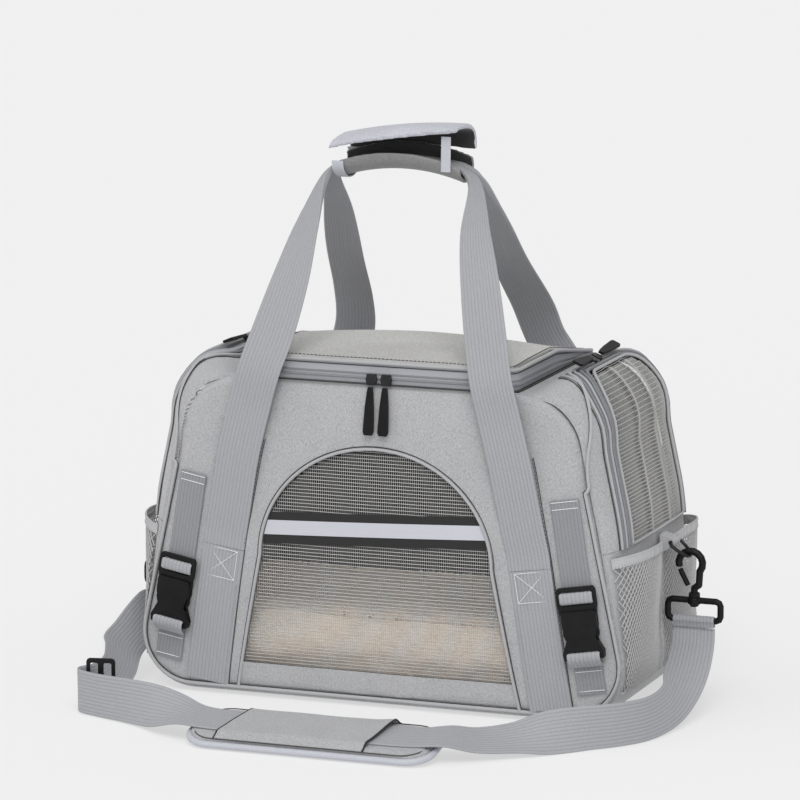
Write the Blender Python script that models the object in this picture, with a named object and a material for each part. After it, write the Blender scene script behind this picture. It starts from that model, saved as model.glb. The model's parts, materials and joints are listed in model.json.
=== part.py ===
"""Soft-sided pet carrier bag, modelled for Blender 4.5 in metres, +Z up.

The bag's front faces -Y and its long side runs along X. The origin is the centre of the base, on the
surface that the bag stands on. Two stiffened panels, front and rear, are the same rounded trapezium.
A gusset follows that outline all round and carries a zipped mesh door at each end and a zipped mesh
lid on top. Two webbing handles meet in a padded grip, and a shoulder strap clips to a ring at each end.
"""

import math

import bmesh
import bpy
from mathutils import Euler, Matrix, Vector

# ---------------------------------------------------------------- driving dimensions

HALF_DEPTH = 0.105  # seams of the front and rear panels
BELLY = 0.010  # how far the middle of each panel stands out
END_BULGE = 0.022  # how far the gusset swells out between the two panels
CREST = 0.006  # and how much more at the top of each end, where its zips meet
BAG_TOP = 0.280  # top of the gusset
SEAM_LIFT = 0.006  # the lower seams stand this high, and the base sags to the floor between them
BASE_CORNER_X = 0.229  # where the sloping ends would meet the floor
TOP_CORNER_X = 0.170  # where they would meet the top
BASE_RADIUS = 0.045
TOP_RADIUS = 0.055
CORNER_STEPS = 5

PANEL = 0.003  # foam-backed fabric
GAP = 0.0003  # between pieces that touch
SKIN = 0.0012  # mesh fabric
WEB = 0.0016  # webbing thickness
WIDE_WEB = 0.038  # handles and shoulder strap
NARROW_WEB = 0.025  # buckle straps

DOOR_FOOT_Z = 0.151  # fold line of an end door
DOOR_TOP_X = 0.163  # free edge of an end door, on the shoulder
DOOR_HALF_WIDTH = 0.076
LID_HALF_LENGTH = 0.1215
LID_REAR = 0.099  # fold line of the lid
LID_FOOT = 0.2813
LID_FRONT_HEIGHT = 0.0185
LID_DOME = 0.008

GRIP_Y, GRIP_Z = -0.030, 0.4695
GRIP_HALF = 0.058
GRIP_ARCH = 0.011  # how much lower the grip's ends are than its middle
STITCH_Z = 0.132  # top of the handles' box stitches, where the webbing comes free

FRONT = -HALF_DEPTH  # y of the front seam
PANEL_HEIGHT = BAG_TOP - SEAM_LIFT

# ---------------------------------------------------------------- materials

LOOKS = {  # slot: (colour, roughness, metallic)
    "melange_fabric": ((0.47, 0.47, 0.49), 0.9, 0),
    "webbing": ((0.44, 0.44, 0.47), 0.8, 0),
    "grey_mesh": ((0.55, 0.55, 0.53), 0.8, 0),
    "dark_piping": ((0.10, 0.10, 0.11), 0.8, 0),
    "reflective_tape": ((0.72, 0.73, 0.78), 0.4, 0),
    "black_plastic": ((0.015, 0.015, 0.017), 0.4, 0),
    "black_metal": ((0.02, 0.02, 0.02), 0.35, 0.8),
    "fleece": ((0.72, 0.66, 0.59), 1.0, 0),
    "base_board": ((0.05, 0.05, 0.05), 0.7, 0),
}


def material(slot):
    """The named material, made the first time it is asked for."""
    found = bpy.data.materials.get(slot)
    if found:
        return found
    made = bpy.data.materials.new(slot)
    made.use_nodes = True
    shader = made.node_tree.nodes["Principled BSDF"]
    colour, roughness, metallic = LOOKS[slot]
    shader.inputs["Base Color"].default_value = (*colour, 1)
    shader.inputs["Roughness"].default_value = roughness
    shader.inputs["Metallic"].default_value = metallic
    return made


# ---------------------------------------------------------------- making objects


def add(name, data, slot, smooth_angle=40):
    """Links one object with its material and shades it smooth up to an angle."""
    obj = bpy.data.objects.new(name, data)
    bpy.context.scene.collection.objects.link(obj)
    data.materials.append(material(slot))
    if isinstance(data, bpy.types.Mesh):
        data.shade_smooth()
        data.set_sharp_from_angle(angle=math.radians(smooth_angle))
    return obj


def mesh_from(bm, name):
    """Turns a bmesh into a mesh whose faces point out."""
    bmesh.ops.recalc_face_normals(bm, faces=bm.faces)
    mesh = bpy.data.meshes.new(name)
    bm.to_mesh(mesh)
    bm.free()
    return mesh


def two_layers(flat, place, low, high):
    """Closes a flat bmesh into a solid: place(u, v, h) puts each point at the heights low and high."""
    solid = bmesh.new()
    top = {v: solid.verts.new(place(v.co.x, v.co.y, high)) for v in flat.verts}
    foot = {v: solid.verts.new(place(v.co.x, v.co.y, low)) for v in flat.verts}
    for face in flat.faces:
        solid.faces.new([top[v] for v in face.verts])
        solid.faces.new([foot[v] for v in reversed(face.verts)])
    for edge in flat.edges:
        if len(edge.link_faces) == 1:
            a, b = edge.verts
            solid.faces.new([top[a], top[b], foot[b], foot[a]])
    flat.free()
    return solid


def plate(name, slot, loops, place, low, high, breaks=(), bands=(), smooth_angle=40):
    """A sheet with the given outline and holes, loops of (u, v), that can bend at u = breaks and v = bands."""
    flat = bmesh.new()
    for loop in loops:
        verts = [flat.verts.new((u, v, 0)) for u, v in loop]
        for a, b in zip(verts, verts[1:] + verts[:1]):
            flat.edges.new((a, b))
    bmesh.ops.triangle_fill(flat, use_beauty=True, use_dissolve=False, edges=flat.edges[:])
    cuts = [((u, 0, 0), (1, 0, 0)) for u in breaks] + [((0, v, 0), (0, 1, 0)) for v in bands]
    for where, facing in cuts:
        parts = flat.verts[:] + flat.edges[:] + flat.faces[:]
        bmesh.ops.bisect_plane(flat, geom=parts, dist=1e-6, plane_co=where, plane_no=facing)
    return add(name, mesh_from(two_layers(flat, place, low, high), name), slot, smooth_angle)


def grid_sheet(name, slot, us, vs, place, low, high):
    """A sheet over the grid us by vs."""
    flat = bmesh.new()
    rows = [[flat.verts.new((u, v, 0)) for v in vs] for u in us]
    for near, far in zip(rows, rows[1:]):
        for a, b, c, d in zip(near, far, far[1:], near[1:]):
            flat.faces.new((a, b, c, d))
    return add(name, mesh_from(two_layers(flat, place, low, high), name), slot)


def spread(low, high, count):
    """count evenly spaced values from low to high."""
    return [low + (high - low) * i / (count - 1) for i in range(count)]


def arc(centre, radius, start, end, steps):
    """Points on an arc, with its angles in degrees."""
    return [
        (centre[0] + radius * math.cos(math.radians(a)), centre[1] + radius * math.sin(math.radians(a)))
        for a in spread(start, end, steps + 1)
    ]


def rounded_box(half_u, half_v, radius, steps=3, centre=(0, 0)):
    """A rectangle with round corners, counter-clockwise."""
    u, v = half_u - radius, half_v - radius
    points = []
    for side_u, side_v, start in ((1, -1, -90), (1, 1, 0), (-1, 1, 90), (-1, -1, 180)):
        corner = (centre[0] + side_u * u, centre[1] + side_v * v)
        points += arc(corner, radius, start, start + 90, steps)
    return points


def smoothed(keys, steps):
    """Points on a Catmull-Rom curve through the keys, each a tuple of numbers."""
    rows = [Vector(k) for k in keys]
    rows = [2 * rows[0] - rows[1], *rows, 2 * rows[-1] - rows[-2]]
    points = []
    for a, b, c, d in zip(rows, rows[1:], rows[2:], rows[3:]):
        for i in range(steps):
            t = i / steps
            points.append(
                0.5 * (2 * b + (c - a) * t + (2 * a - 5 * b + 4 * c - d) * t**2 + (3 * b - a - 3 * c + d) * t**3)
            )
    return [*points, rows[-2]]


def ribbon(name, slot, keys, steps=3):
    """A strap through the keys. A key is x, y, z, the direction across the strap, its width and thickness."""
    rows = smoothed(keys, steps)
    places = [Vector(r[:3]) for r in rows]
    bm = bmesh.new()
    rings = []
    for i, row in enumerate(rows):
        along = (places[min(i + 1, len(rows) - 1)] - places[max(i - 1, 0)]).normalized()
        across = Vector(row[3:6])
        across = (across - along * across.dot(along)).normalized()
        face = along.cross(across)
        half_width, half_thick = across * row[6] / 2, face * row[7] / 2
        corners = (half_width + half_thick, half_thick - half_width)
        rings.append([bm.verts.new(places[i] + c) for c in (*corners, -corners[0], -corners[1])])
    for near, far in zip(rings, rings[1:]):
        for k in range(4):
            bm.faces.new((near[k], near[(k + 1) % 4], far[(k + 1) % 4], far[k]))
    bm.faces.new(rings[0])
    bm.faces.new(rings[-1])
    return add(name, mesh_from(bm, name), slot)


def tube(name, slot, points, radius, cyclic=False, resolution=2):
    """A round bar along the points."""
    curve = bpy.data.curves.new(name, "CURVE")
    curve.dimensions = "3D"
    curve.bevel_depth = radius
    curve.bevel_resolution = resolution
    curve.use_fill_caps = True
    spline = curve.splines.new("POLY")
    spline.points.add(len(points) - 1)
    for target, point in zip(spline.points, points):
        target.co = (*point, 1)
    spline.use_cyclic_u = cyclic
    return add(name, curve, slot)


def turned(profile, centre, steps=12):
    """A bmesh turned about the vertical axis through centre, from a closed profile of (radius, z)."""
    bm = bmesh.new()
    rings = []
    for i in range(steps):
        a = 2 * math.pi * i / steps
        rings.append([bm.verts.new((centre[0] + r * math.cos(a), centre[1] + r * math.sin(a), z)) for r, z in profile])
    for near, far in zip(rings, rings[1:] + rings[:1]):
        for k in range(len(profile)):
            n = (k + 1) % len(profile)
            bm.faces.new((near[k], near[n], far[n], far[k]))
    return bm


def boolean(target, cutter, operation):
    """Cuts or joins with another object, which is then only a helper."""
    modifier = target.modifiers.new(operation.lower(), "BOOLEAN")
    modifier.operation = operation
    modifier.object = cutter
    cutter.hide_render = True
    cutter.display_type = "WIRE"


# ---------------------------------------------------------------- the bag's outline


def bag_outline():
    """Corners of the outline in the XZ plane, counter-clockwise from the middle of the base."""
    slope = math.degrees(math.atan2(PANEL_HEIGHT, BASE_CORNER_X - TOP_CORNER_X))
    base_back = BASE_RADIUS / math.tan(math.radians(slope / 2))
    top_back = TOP_RADIUS / math.tan(math.radians(90 - slope / 2))
    foot = (BASE_CORNER_X - base_back, SEAM_LIFT + BASE_RADIUS)
    head = (TOP_CORNER_X - top_back, BAG_TOP - TOP_RADIUS)
    turn = 90 - slope  # how far the end walls lean in from the vertical
    right = arc(foot, BASE_RADIUS, -90, turn, CORNER_STEPS) + arc(head, TOP_RADIUS, turn, 90, CORNER_STEPS)
    return [(0, SEAM_LIFT), *right, (0, BAG_TOP), *[(-x, z) for x, z in reversed(right)]]


OUTLINE = bag_outline()


def measure(points):
    """Distance along the closed outline of each of its corners, and its whole length."""
    total, lengths = 0, []
    for a, b in zip(points, points[1:] + points[:1]):
        lengths.append(total)
        total += math.dist(a, b)
    return lengths, total


STATIONS, GIRTH = measure(OUTLINE)


def offset_outline(height):
    """The outline moved outwards, with its sides kept parallel."""
    moved = []
    count = len(OUTLINE)
    for i in range(count):
        before, here, after = (Vector(OUTLINE[(i + k) % count]) for k in (-1, 0, 1))
        first, second = (here - before).normalized(), (after - here).normalized()
        normal_a, normal_b = Vector((first.y, -first.x)), Vector((second.y, -second.x))
        middle = (normal_a + normal_b).normalized()
        moved.append(here + middle * height / middle.dot(normal_a))
    return moved


OFFSETS = {h: offset_outline(h) for h in (0.0, 1.0)}
ACROSS = [-0.1015, -0.099, -0.094, -0.087, -0.070, -0.035, 0, 0.035, 0.070, 0.087, 0.094, 0.099, 0.1015]


def ramp(value, start, end):
    """0 before start, 1 after end, and smooth between them."""
    t = min(1.0, max(0.0, (value - start) / (end - start)))
    return t * t * (3 - 2 * t)


def bulge(x, z, y):
    """How far the gusset swells out: along the ends above the pockets, and a little under the base."""
    swell = END_BULGE * ramp(z, 0.040, 0.180) + CREST * ramp(z, 0.225, 0.255)
    end = swell * ramp(abs(x), 0.128, 0.162) * (1 - (y / HALF_DEPTH) ** 6)
    return end + SEAM_LIFT * ramp(0.06 - z, 0.0, 0.045) * (1 - (y / HALF_DEPTH) ** 16)


def on_gusset(s, y, height):
    """The point at distance s along the outline, at depth y, standing out by height."""
    s = s % GIRTH
    i = max(k for k, start in enumerate(STATIONS) if start <= s + 1e-9)
    end = STATIONS[i + 1] if i + 1 < len(STATIONS) else GIRTH
    t = (s - STATIONS[i]) / (end - STATIONS[i])
    flush, raised = (
        OFFSETS[h][i].lerp(OFFSETS[h][(i + 1) % len(OUTLINE)], t) for h in (0.0, 1.0)
    )
    place = flush.lerp(raised, height + bulge(flush.x, flush.y, y))
    return Vector((place.x, y, place.y))


def distance_at(test):
    """Distance along the right half of the outline where test(x, z) first turns true."""
    steps = 4000
    for i in range(steps):
        s = GIRTH / 2 * i / steps
        place = on_gusset(s, 0, 0.0)
        if test(place.x, place.z):
            return s
    raise ValueError("the outline never gets there")


DOOR_FOOT = distance_at(lambda x, z: z >= DOOR_FOOT_Z)
DOOR_TOP = distance_at(lambda x, z: z > BAG_TOP / 2 and x <= DOOR_TOP_X)
SHOULDER_END = distance_at(lambda x, z: z > BAG_TOP / 2 and x <= LID_HALF_LENGTH + 0.0015)


def mirrored(side):
    """place(s, y, h) for the right end (side 1) or the left end (side -1)."""
    return lambda s, y, h: on_gusset(side * s, y, h)


def end_wall_x(z):
    """x of the right end's seams between their rounded corners."""
    return BASE_CORNER_X + (TOP_CORNER_X - BASE_CORNER_X) * (z - SEAM_LIFT) / PANEL_HEIGHT


def belly(x, z):
    """How far the front and rear panels stand out from their seams."""
    across = max(0.0, 1 - (x / (end_wall_x(z) - 0.006)) ** 2)
    up = max(0.0, 1 - ((z - BAG_TOP / 2) / (BAG_TOP / 2 - 0.006)) ** 2)
    return BELLY * across**0.7 * up**0.7


def on_front(x, z, height):
    """A point on the front face, standing out by height."""
    return Vector((x, FRONT - height - belly(x, z), z))


def on_rear(x, z, height):
    return Vector((x, -FRONT + height + belly(x, z), z))


PANEL_BREAKS = [0.04 * i for i in range(-5, 6)]
PANEL_BANDS = [0.025, 0.06, 0.10, 0.1425, 0.185, 0.225, 0.26]


# ---------------------------------------------------------------- shell

WINDOW_FOOT, WINDOW_CROWN = 0.031, 0.225
WINDOW_FOOT_HALF, WINDOW_SHOULDER_HALF, WINDOW_SHOULDER_Z = 0.123, 0.104, 0.128


def window_outline(grow=0.0, foot=WINDOW_FOOT, foot_half=WINDOW_FOOT_HALF, steps=12):
    """The arch of the front window, open or closed at its foot, grown outwards by grow."""
    half, rise = WINDOW_SHOULDER_HALF + grow, WINDOW_CROWN - WINDOW_SHOULDER_Z + grow
    crown = [
        (half * math.cos(math.pi * i / steps), WINDOW_SHOULDER_Z + rise * math.sin(math.pi * i / steps))
        for i in range(steps + 1)
    ]
    return [(foot_half + grow, foot - grow), *crown, (-foot_half - grow, foot - grow)]


def make_shell():
    gusset_edge = HALF_DEPTH - PANEL - GAP
    loop = [(-DOOR_FOOT, -gusset_edge), (DOOR_FOOT, -gusset_edge), (DOOR_FOOT, gusset_edge), (-DOOR_FOOT, gusset_edge)]
    creases = [s for s in STATIONS if 0 < s < DOOR_FOOT]
    breaks = [0.0, *creases, *[-s for s in creases]]
    plate("bottom_gusset", "melange_fabric", [loop], on_gusset, -PANEL, 0.0, breaks, ACROSS)

    panel = offset_outline(0.0)
    plate("front_panel", "melange_fabric", [panel, window_outline()], on_front, -PANEL, 0.0, PANEL_BREAKS, PANEL_BANDS)
    plate("rear_panel", "melange_fabric", [panel], on_rear, -PANEL, 0.0, PANEL_BREAKS, PANEL_BANDS)

    inner, radius = DOOR_HALF_WIDTH, 0.035
    crown = DOOR_TOP + GAP
    arch = arc((crown - radius, inner - radius), radius, 90, 0, 4) + arc((crown - radius, radius - inner), radius, 0, -90, 4)
    foot = DOOR_FOOT + GAP
    frame = [(foot, -gusset_edge), (SHOULDER_END, -gusset_edge), (SHOULDER_END, gusset_edge), (foot, gusset_edge)]
    frame += [(foot, inner), *arch, (foot, -inner)]
    breaks = [s for s in STATIONS if foot < s < SHOULDER_END]
    for side, word in ((1, "right"), (-1, "left")):
        plate(word + "_end_frame", "melange_fabric", [frame], mirrored(side), -PANEL, 0.0, breaks, ACROSS)


def make_inside():
    """The stiff base board and the fleece mat that lies on it."""
    board = rounded_box(0.168, 0.095, 0.02)
    board_foot = PANEL + 0.0016
    plate("base_board", "base_board", [board], lambda x, y, h: Vector((x, y, h)), board_foot, board_foot + 0.003)
    mat_foot, mat_top, mat_inset = board_foot + 0.0033, 0.078, -0.010
    inside = [p for p in offset_outline(mat_inset) if p.y < mat_top - 0.004]
    half = end_wall_x(mat_top) + mat_inset
    crown = [(half - 0.004, mat_top - 0.003), (half - 0.012, mat_top)]
    right = [(p.x, max(p.y, mat_foot)) for p in inside if p.x > 0.01] + crown
    profile = right + [(-x, z) for x, z in reversed(right)]
    plate("fleece_mat", "fleece", [profile], lambda x, z, h: Vector((x, h, z)), -0.096, 0.096)


def body_seam(height):
    """The seam round the whole bag: the lower edges, the corners, and over each shoulder beside its door."""
    inner = [Vector((p.x, p.y)) for p in offset_outline(-0.0022)]
    rise = [p for p in inner[1 : len(inner) // 2] if p.x > 0.156 or p.y < 0.1]
    leg = [on_front(p.x, p.y, height) for p in rise]
    over = distance_at(lambda x, z: z > BAG_TOP / 2 and x <= 0.146)
    turn = distance_at(lambda x, z: z > BAG_TOP / 2 and x <= rise[-1].x - 0.004)
    corner = []
    for t in spread(0, 90, 6):
        s = turn + (over - turn) * math.sin(math.radians(t))
        y = (0.053 - HALF_DEPTH) * math.cos(math.radians(t)) - 0.055
        corner.append(on_gusset(s, y, height + 0.0012))
    right = leg + corner + [on_gusset(over, y, height + 0.0012) for y in spread(-0.03, 0, 2)]
    quarter = [Vector((-p.x, p.y, p.z)) for p in reversed(right)]
    front = quarter + right
    rear = [Vector((p.x, -p.y, p.z)) for p in reversed(front)]
    return front + rear[1:-1]


def make_front_trim():
    mesh_edge = window_outline(grow=-0.0006)
    window = plate("window_mesh", "grey_mesh", [mesh_edge], on_front, -PANEL + 0.0006, -0.0008, PANEL_BREAKS, PANEL_BANDS)
    window.data.set_sharp_from_angle(angle=math.radians(20))
    tape_low, tape_high = 0.138, 0.1655
    rise = WINDOW_CROWN - WINDOW_SHOULDER_Z

    def half_at(z):
        return WINDOW_SHOULDER_HALF * math.sqrt(1 - ((z - WINDOW_SHOULDER_Z) / rise) ** 2) - 0.0015

    right = [(half_at(z), z) for z in spread(tape_low, tape_high, 4)]
    tape = right + [(-x, z) for x, z in reversed(right)]
    plate("reflective_strip", "reflective_tape", [tape], on_front, -0.0005, 0.0001, PANEL_BREAKS, PANEL_BANDS)

    cord = 0.0015
    arch = window_outline(grow=0.0020, foot=0.0140, foot_half=0.127, steps=16)
    sides = [[Vector(a).lerp(Vector(b), t) for t in spread(0, 1, 6)] for a, b in (arch[:2], arch[-2:])]
    arch = [*sides[0], *[Vector(p) for p in arch[2:-2]], *sides[1]]
    tube("window_piping", "dark_piping", [on_front(p.x, p.y, cord + 2 * GAP) for p in arch], cord)
    tube("body_piping", "dark_piping", body_seam(cord + 2 * GAP), cord, cyclic=True)


# ---------------------------------------------------------------- end doors and pockets

POCKET_FOOT_Z, POCKET_RIM_Z = 0.030, 0.146
POCKET_HALF = 0.099
POCKET_DEPTH = 0.013
POCKET_WAIST = 0.0100  # half the width that the ring's tab holds flat


def pocket_height(s, y, foot, rim):
    """How far the pocket stands off the end wall: two pouches side by side, pulled in at the middle."""
    pouch = math.sin(math.pi * max(0.0, abs(y) - POCKET_WAIST) / (POCKET_HALF - POCKET_WAIST))
    rise = math.sin(math.pi / 2 * (s - foot) / (rim - foot))
    return POCKET_DEPTH * (0.15 + 0.85 * rise) * max(0.0, pouch) ** 0.6


def make_doors():
    inner, radius = DOOR_HALF_WIDTH - 0.0006, 0.035
    foot, crown = DOOR_FOOT + 0.0010, DOOR_TOP - 0.0003
    arch = arc((crown - radius, inner - radius), radius, 0, 90, 4)
    edge = [(foot, -inner), *[(s, -y) for s, y in reversed(arch)], *arch, (foot, inner)]
    breaks = [s for s in STATIONS if foot < s < crown]
    pocket_foot = distance_at(lambda x, z: z >= POCKET_FOOT_Z)
    pocket_rim = distance_at(lambda x, z: z >= POCKET_RIM_Z)
    rows = [pocket_foot, *[s for s in STATIONS if pocket_foot + 0.002 < s < pocket_rim - 0.002]]
    rows += spread(rows[-1], pocket_rim, 4)[1:]
    for side, word in ((1, "right"), (-1, "left")):
        plate(word + "_door", "grey_mesh", [edge], mirrored(side), -0.0022, -0.0002, breaks, ACROSS[3:-3])

        def on_pocket(s, y, layer, side=side):
            height = pocket_height(s, y, pocket_foot, pocket_rim) + GAP + 0.0007
            return on_gusset(side * s, y, height + layer)

        grid_sheet(word + "_pocket", "grey_mesh", rows, spread(-POCKET_HALF, POCKET_HALF, 21), on_pocket, 0.0, SKIN)


# ---------------------------------------------------------------- lid


def lid_height(y):
    """How far the lid's edge stands above its foot: full at the front, thin at the rear fold."""
    share = (LID_REAR - y) / (LID_REAR + HALF_DEPTH)
    return 0.0032 + (LID_FRONT_HEIGHT - 0.0032) * min(1, share * 2.2)


def make_lid():
    front = FRONT + 0.0012
    half = LID_HALF_LENGTH

    def on_lid(x, y, layer):
        across = 1 - (x / half) ** 2
        along = math.sin(math.pi * (y - front) / (LID_REAR - front))
        return Vector((x, y, LID_FOOT + lid_height(y) + LID_DOME * across * along + layer))

    rows = spread(front, LID_REAR, 9)
    grid_sheet("lid_mesh", "grey_mesh", spread(-half, half, 9), rows, on_lid, 0.0, SKIN)
    radius, thick = 0.012, 0.0016
    corner = arc((half - radius, front + radius), radius, -90, 0, 3)
    right = [(half - 0.05, front), *corner, (half, -0.05), (half, 0.0), (half, 0.06), (half, LID_REAR - 0.004)]
    plan = [(-x, y) for x, y in reversed(right)] + right
    inset = thick / 2
    keys = []
    for x, y in plan:
        high = lid_height(y) - 0.0006
        sx, sy = math.copysign(max(abs(x) - inset, 0), x), y + (inset if y < -0.08 else 0)
        keys.append((sx, sy, LID_FOOT + high / 2, 0, 0, 1, high, thick))
    ribbon("lid_rim", "melange_fabric", keys, steps=1)


# ---------------------------------------------------------------- handles


HANDLE_LEAN = -0.005  # both handles rest a little to the left of the middle
HANDLE_LEANS = {  # how far each handle leans over at each of its heights
    "front": (0, 0, 0, 0, 0.001, 0.002, 0.002, -0.001, -0.004),
    "rear": (0, 0, -0.004, -0.010, -0.016, -0.017, -0.013, -0.009, -0.006),
}
HANDLE_ROUTES = {  # half the width between a handle's two sides at each height: front, then rear
    "front": (0.1388, 0.1320, 0.1235, 0.1130, 0.1045, 0.0958, 0.0855, 0.0765, 0.0690),
    "rear": (0.1388, 0.1320, 0.1215, 0.1050, 0.0900, 0.0840, 0.0770, 0.0730, 0.0690),
}


def handle_keys(word, side_y, side):
    """One half of a handle, from its box stitch up to the middle of the grip.

    Low down the webbing lies flat on the bag's face. It stands off where it crosses the lid's zip, and
    near the grip it gathers to a narrow bundle. side_y is -1 in front, and side is -1 on the left.
    """
    face = HALF_DEPTH + 0.0004
    grip = GRIP_Y * side_y + 0.0065
    crossing, first, second, third = {"front": (0.0030, 0.83, 0.52, 0.10), "rear": (-0.0050, 0.58, 0.30, 0.06)}[word]
    rows = [
        # distance out from the middle, z, across (x, y, z), width, thickness
        (face + 0.0026, STITCH_Z + 0.0040, (1, 0, 0.16), WIDE_WEB, WEB),
        (face + 0.0030, 0.170, (1, 0, 0.18), WIDE_WEB, WEB),
        (face + 0.0065, 0.215, (1, 0, 0.20), WIDE_WEB, WEB),
        (face + 0.0110, 0.258, (1, 0, 0.21), WIDE_WEB, WEB),
        (face + 0.0120, 0.290, (1, 0, 0.22), WIDE_WEB, WEB),
        (face + crossing, 0.322, (1, 0, 0.22), WIDE_WEB, WEB),
        (grip + first * (face - grip), 0.366, (1, -0.15 * side_y, 0.24), 0.034, WEB),
        (grip + second * (face - grip), 0.408, (1, -0.5 * side_y, 0.2), 0.026, 0.0022),
        (grip + third * (face - grip), GRIP_Z - 0.0255, (0.5, -1.0 * side_y, 0.2), 0.013, 0.005),
        (grip, GRIP_Z - 0.0075, (0, -side_y, 0), 0.010, 0.006),
        (grip, GRIP_Z - 0.0030, (0, -side_y, 0), 0.010, 0.006),
        (grip, GRIP_Z, (0, -side_y, 0), 0.010, 0.006),
    ]
    keys = []
    halves = (*HANDLE_ROUTES[word], 0.055, 0.035, 0.0)
    leans = (*HANDLE_LEANS[word], *[HANDLE_LEAN] * 3)
    for x, lean, (out, z, (ax, ay, az), width, thick) in zip(halves, leans, rows):
        bend = belly(x, z) if z < 0.25 else 0
        x = side * x + lean
        keys.append((x, side_y * (out + bend), z, side * ax, ay, az, width, thick))
    return keys


def make_handles():
    for side_y, word in ((-1, "front"), (1, "rear")):
        right, left = handle_keys(word, side_y, 1), handle_keys(word, side_y, -1)
        ribbon(word + "_handle", "webbing", right + left[-2::-1], steps=2)
        wall = on_front if side_y < 0 else on_rear
        for side, hand in ((1, "right"), (-1, "left")):
            loop = [(0.1570 - WIDE_WEB / 2, 0.0115), (0.1570 + WIDE_WEB / 2, 0.0115)]
            loop += [(0.1390 + WIDE_WEB / 2, STITCH_Z + 0.003), (0.1390 - WIDE_WEB / 2, STITCH_Z - 0.003)]
            loop = [(side * x, z) for x, z in loop]
            plate(f"{word}_{hand}_strap_base", "webbing", [loop], wall, GAP + 0.0003, GAP + 0.0003 + WEB, (), PANEL_BANDS)


def grip_section(points, inward):
    """Sweeps a cross-section of (y, z) points from the grip's centre along its arched length."""
    steps = 9

    def place(i, k, layer):
        x = GRIP_HALF * (2 * i / (steps - 1) - 1)
        y, z = points[int(k)]
        normal = Vector(inward[int(k)])
        sag = GRIP_ARCH * (x / GRIP_HALF) ** 2
        return Vector((x + HANDLE_LEAN, GRIP_Y + y + normal.x * layer, GRIP_Z - sag + z + normal.y * layer))

    return list(range(steps)), list(range(len(points))), place


def make_grip():
    """The padded wrap: a trough under both handles, and a flap that folds over it from the rear."""
    radius, thick = 0.0195, 0.004
    angles = spread(232, 385, 10)
    ring = [(radius * math.cos(math.radians(a)), 0.70 * radius * math.sin(math.radians(a))) for a in angles]
    inward = [(-math.cos(math.radians(a)), -math.sin(math.radians(a))) for a in angles]
    us, vs, place = grip_section(ring, inward)
    grid_sheet("grip_wrap", "melange_fabric", us, vs, place, 0.0, thick)

    flap = [(0.0205, 0.0085), (0.0200, 0.0150), (0.0130, 0.0205), (0.0040, 0.0235)]
    flap += [(-0.0080, 0.0235), (-0.0200, 0.0200), (-0.0270, 0.0155)]
    up = [(0.9, 0.3), (0.8, 0.6), (0.5, 0.85), (0.2, 0.98), (-0.1, 0.99), (-0.3, 0.95), (-0.35, 0.93)]
    us, vs, place = grip_section(flap, up)
    grid_sheet("grip_flap", "melange_fabric", us, vs, place, 0.0, 0.0035)


# ---------------------------------------------------------------- side-release buckles

BUCKLE_X, BUCKLE_Z, BUCKLE_TILT = 0.1840, 0.0900, 8.8


def buckle_place(side):
    """place(across, along, out) for a buckle and its straps on the front face."""
    turn = math.radians(BUCKLE_TILT) * side

    def along_face(u, v, h):
        x = side * BUCKLE_X + u * math.cos(turn) - v * math.sin(turn)
        z = BUCKLE_Z + u * math.sin(turn) + v * math.cos(turn)
        return on_front(x, z, h)

    frame_x = (along_face(0.01, 0, 0) - along_face(-0.01, 0, 0)).normalized()
    frame_out = frame_x.cross(along_face(0, 0.03, 0) - along_face(0, -0.03, 0)).normalized()
    frame_up = frame_out.cross(frame_x)

    def rigid(u, v, h):
        return along_face(0, 0, 0) + frame_x * u + frame_up * v + frame_out * h

    return along_face, rigid


def both_sides(right):
    """Closes half an outline by mirroring it in u."""
    return right + [(-u, v) for u, v in reversed(right)]


def make_buckles():
    back, half_web = 0.0026, NARROW_WEB / 2
    male_bars = both_sides([(0.0165, 0.0130), (0.0172, 0.0160), (0.0172, 0.0290), (0.0155, 0.0318)])
    prongs = both_sides([(0.0035, -0.0135), (0.0050, -0.0030), (0.0090, -0.0060), (0.0140, -0.0135), (0.0158, -0.0085)])
    male = [*prongs[:5], (0.0148, 0.0020), *male_bars, (-0.0148, 0.0020), *prongs[5:]]
    slots = [rounded_box(0.0130, 0.0021, 0.0010, 1, (0, v)) for v in (0.0262, 0.0182)]
    mouth = [(0.0140, 0.0115), (0.0152, 0.0095), (0.0152, -0.0020), (0.0138, -0.0075)]
    foot = [(0.0125, -0.0120), (0.0150, -0.0180), (0.0178, -0.0240), (0.0170, -0.0300)]
    female = both_sides([*mouth, *foot])
    strap_slot = rounded_box(0.0130, 0.0022, 0.0010, 1, (0, -0.0250))
    for side, word in ((1, "right"), (-1, "left")):
        cloth, place = buckle_place(side)
        top = [(-half_web, 0.0200), (half_web, 0.0200), (half_web, 0.1050), (-half_web, 0.1050)]
        plate(word + "_buckle_upper_strap", "webbing", [top], cloth, 2 * GAP, 2 * GAP + WEB, (), spread(0.03, 0.10, 6))
        tail = [(-half_web, -0.0620), (half_web, -0.0620), (half_web, -0.0230), (-half_web, -0.0230)]
        plate(word + "_buckle_lower_strap", "webbing", [tail], cloth, GAP, GAP + WEB, (), spread(-0.05, -0.035, 2))
        plate(word + "_buckle_male", "black_plastic", [male, *slots], place, back + 0.0021, back + 0.0059)
        shell = [female, strap_slot]
        body = plate(word + "_buckle_female", "black_plastic", shell, place, back, back + 0.0080)
        cavity = [(-0.03, -0.0150), (0.03, -0.0150), (0.03, 0.03), (-0.03, 0.03)]
        cutter = plate(word + "_buckle_cavity", "black_plastic", [cavity], place, back + 0.0018, back + 0.0062)
        boolean(body, cutter, "DIFFERENCE")


# ---------------------------------------------------------------- zip sliders and pulls


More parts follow.
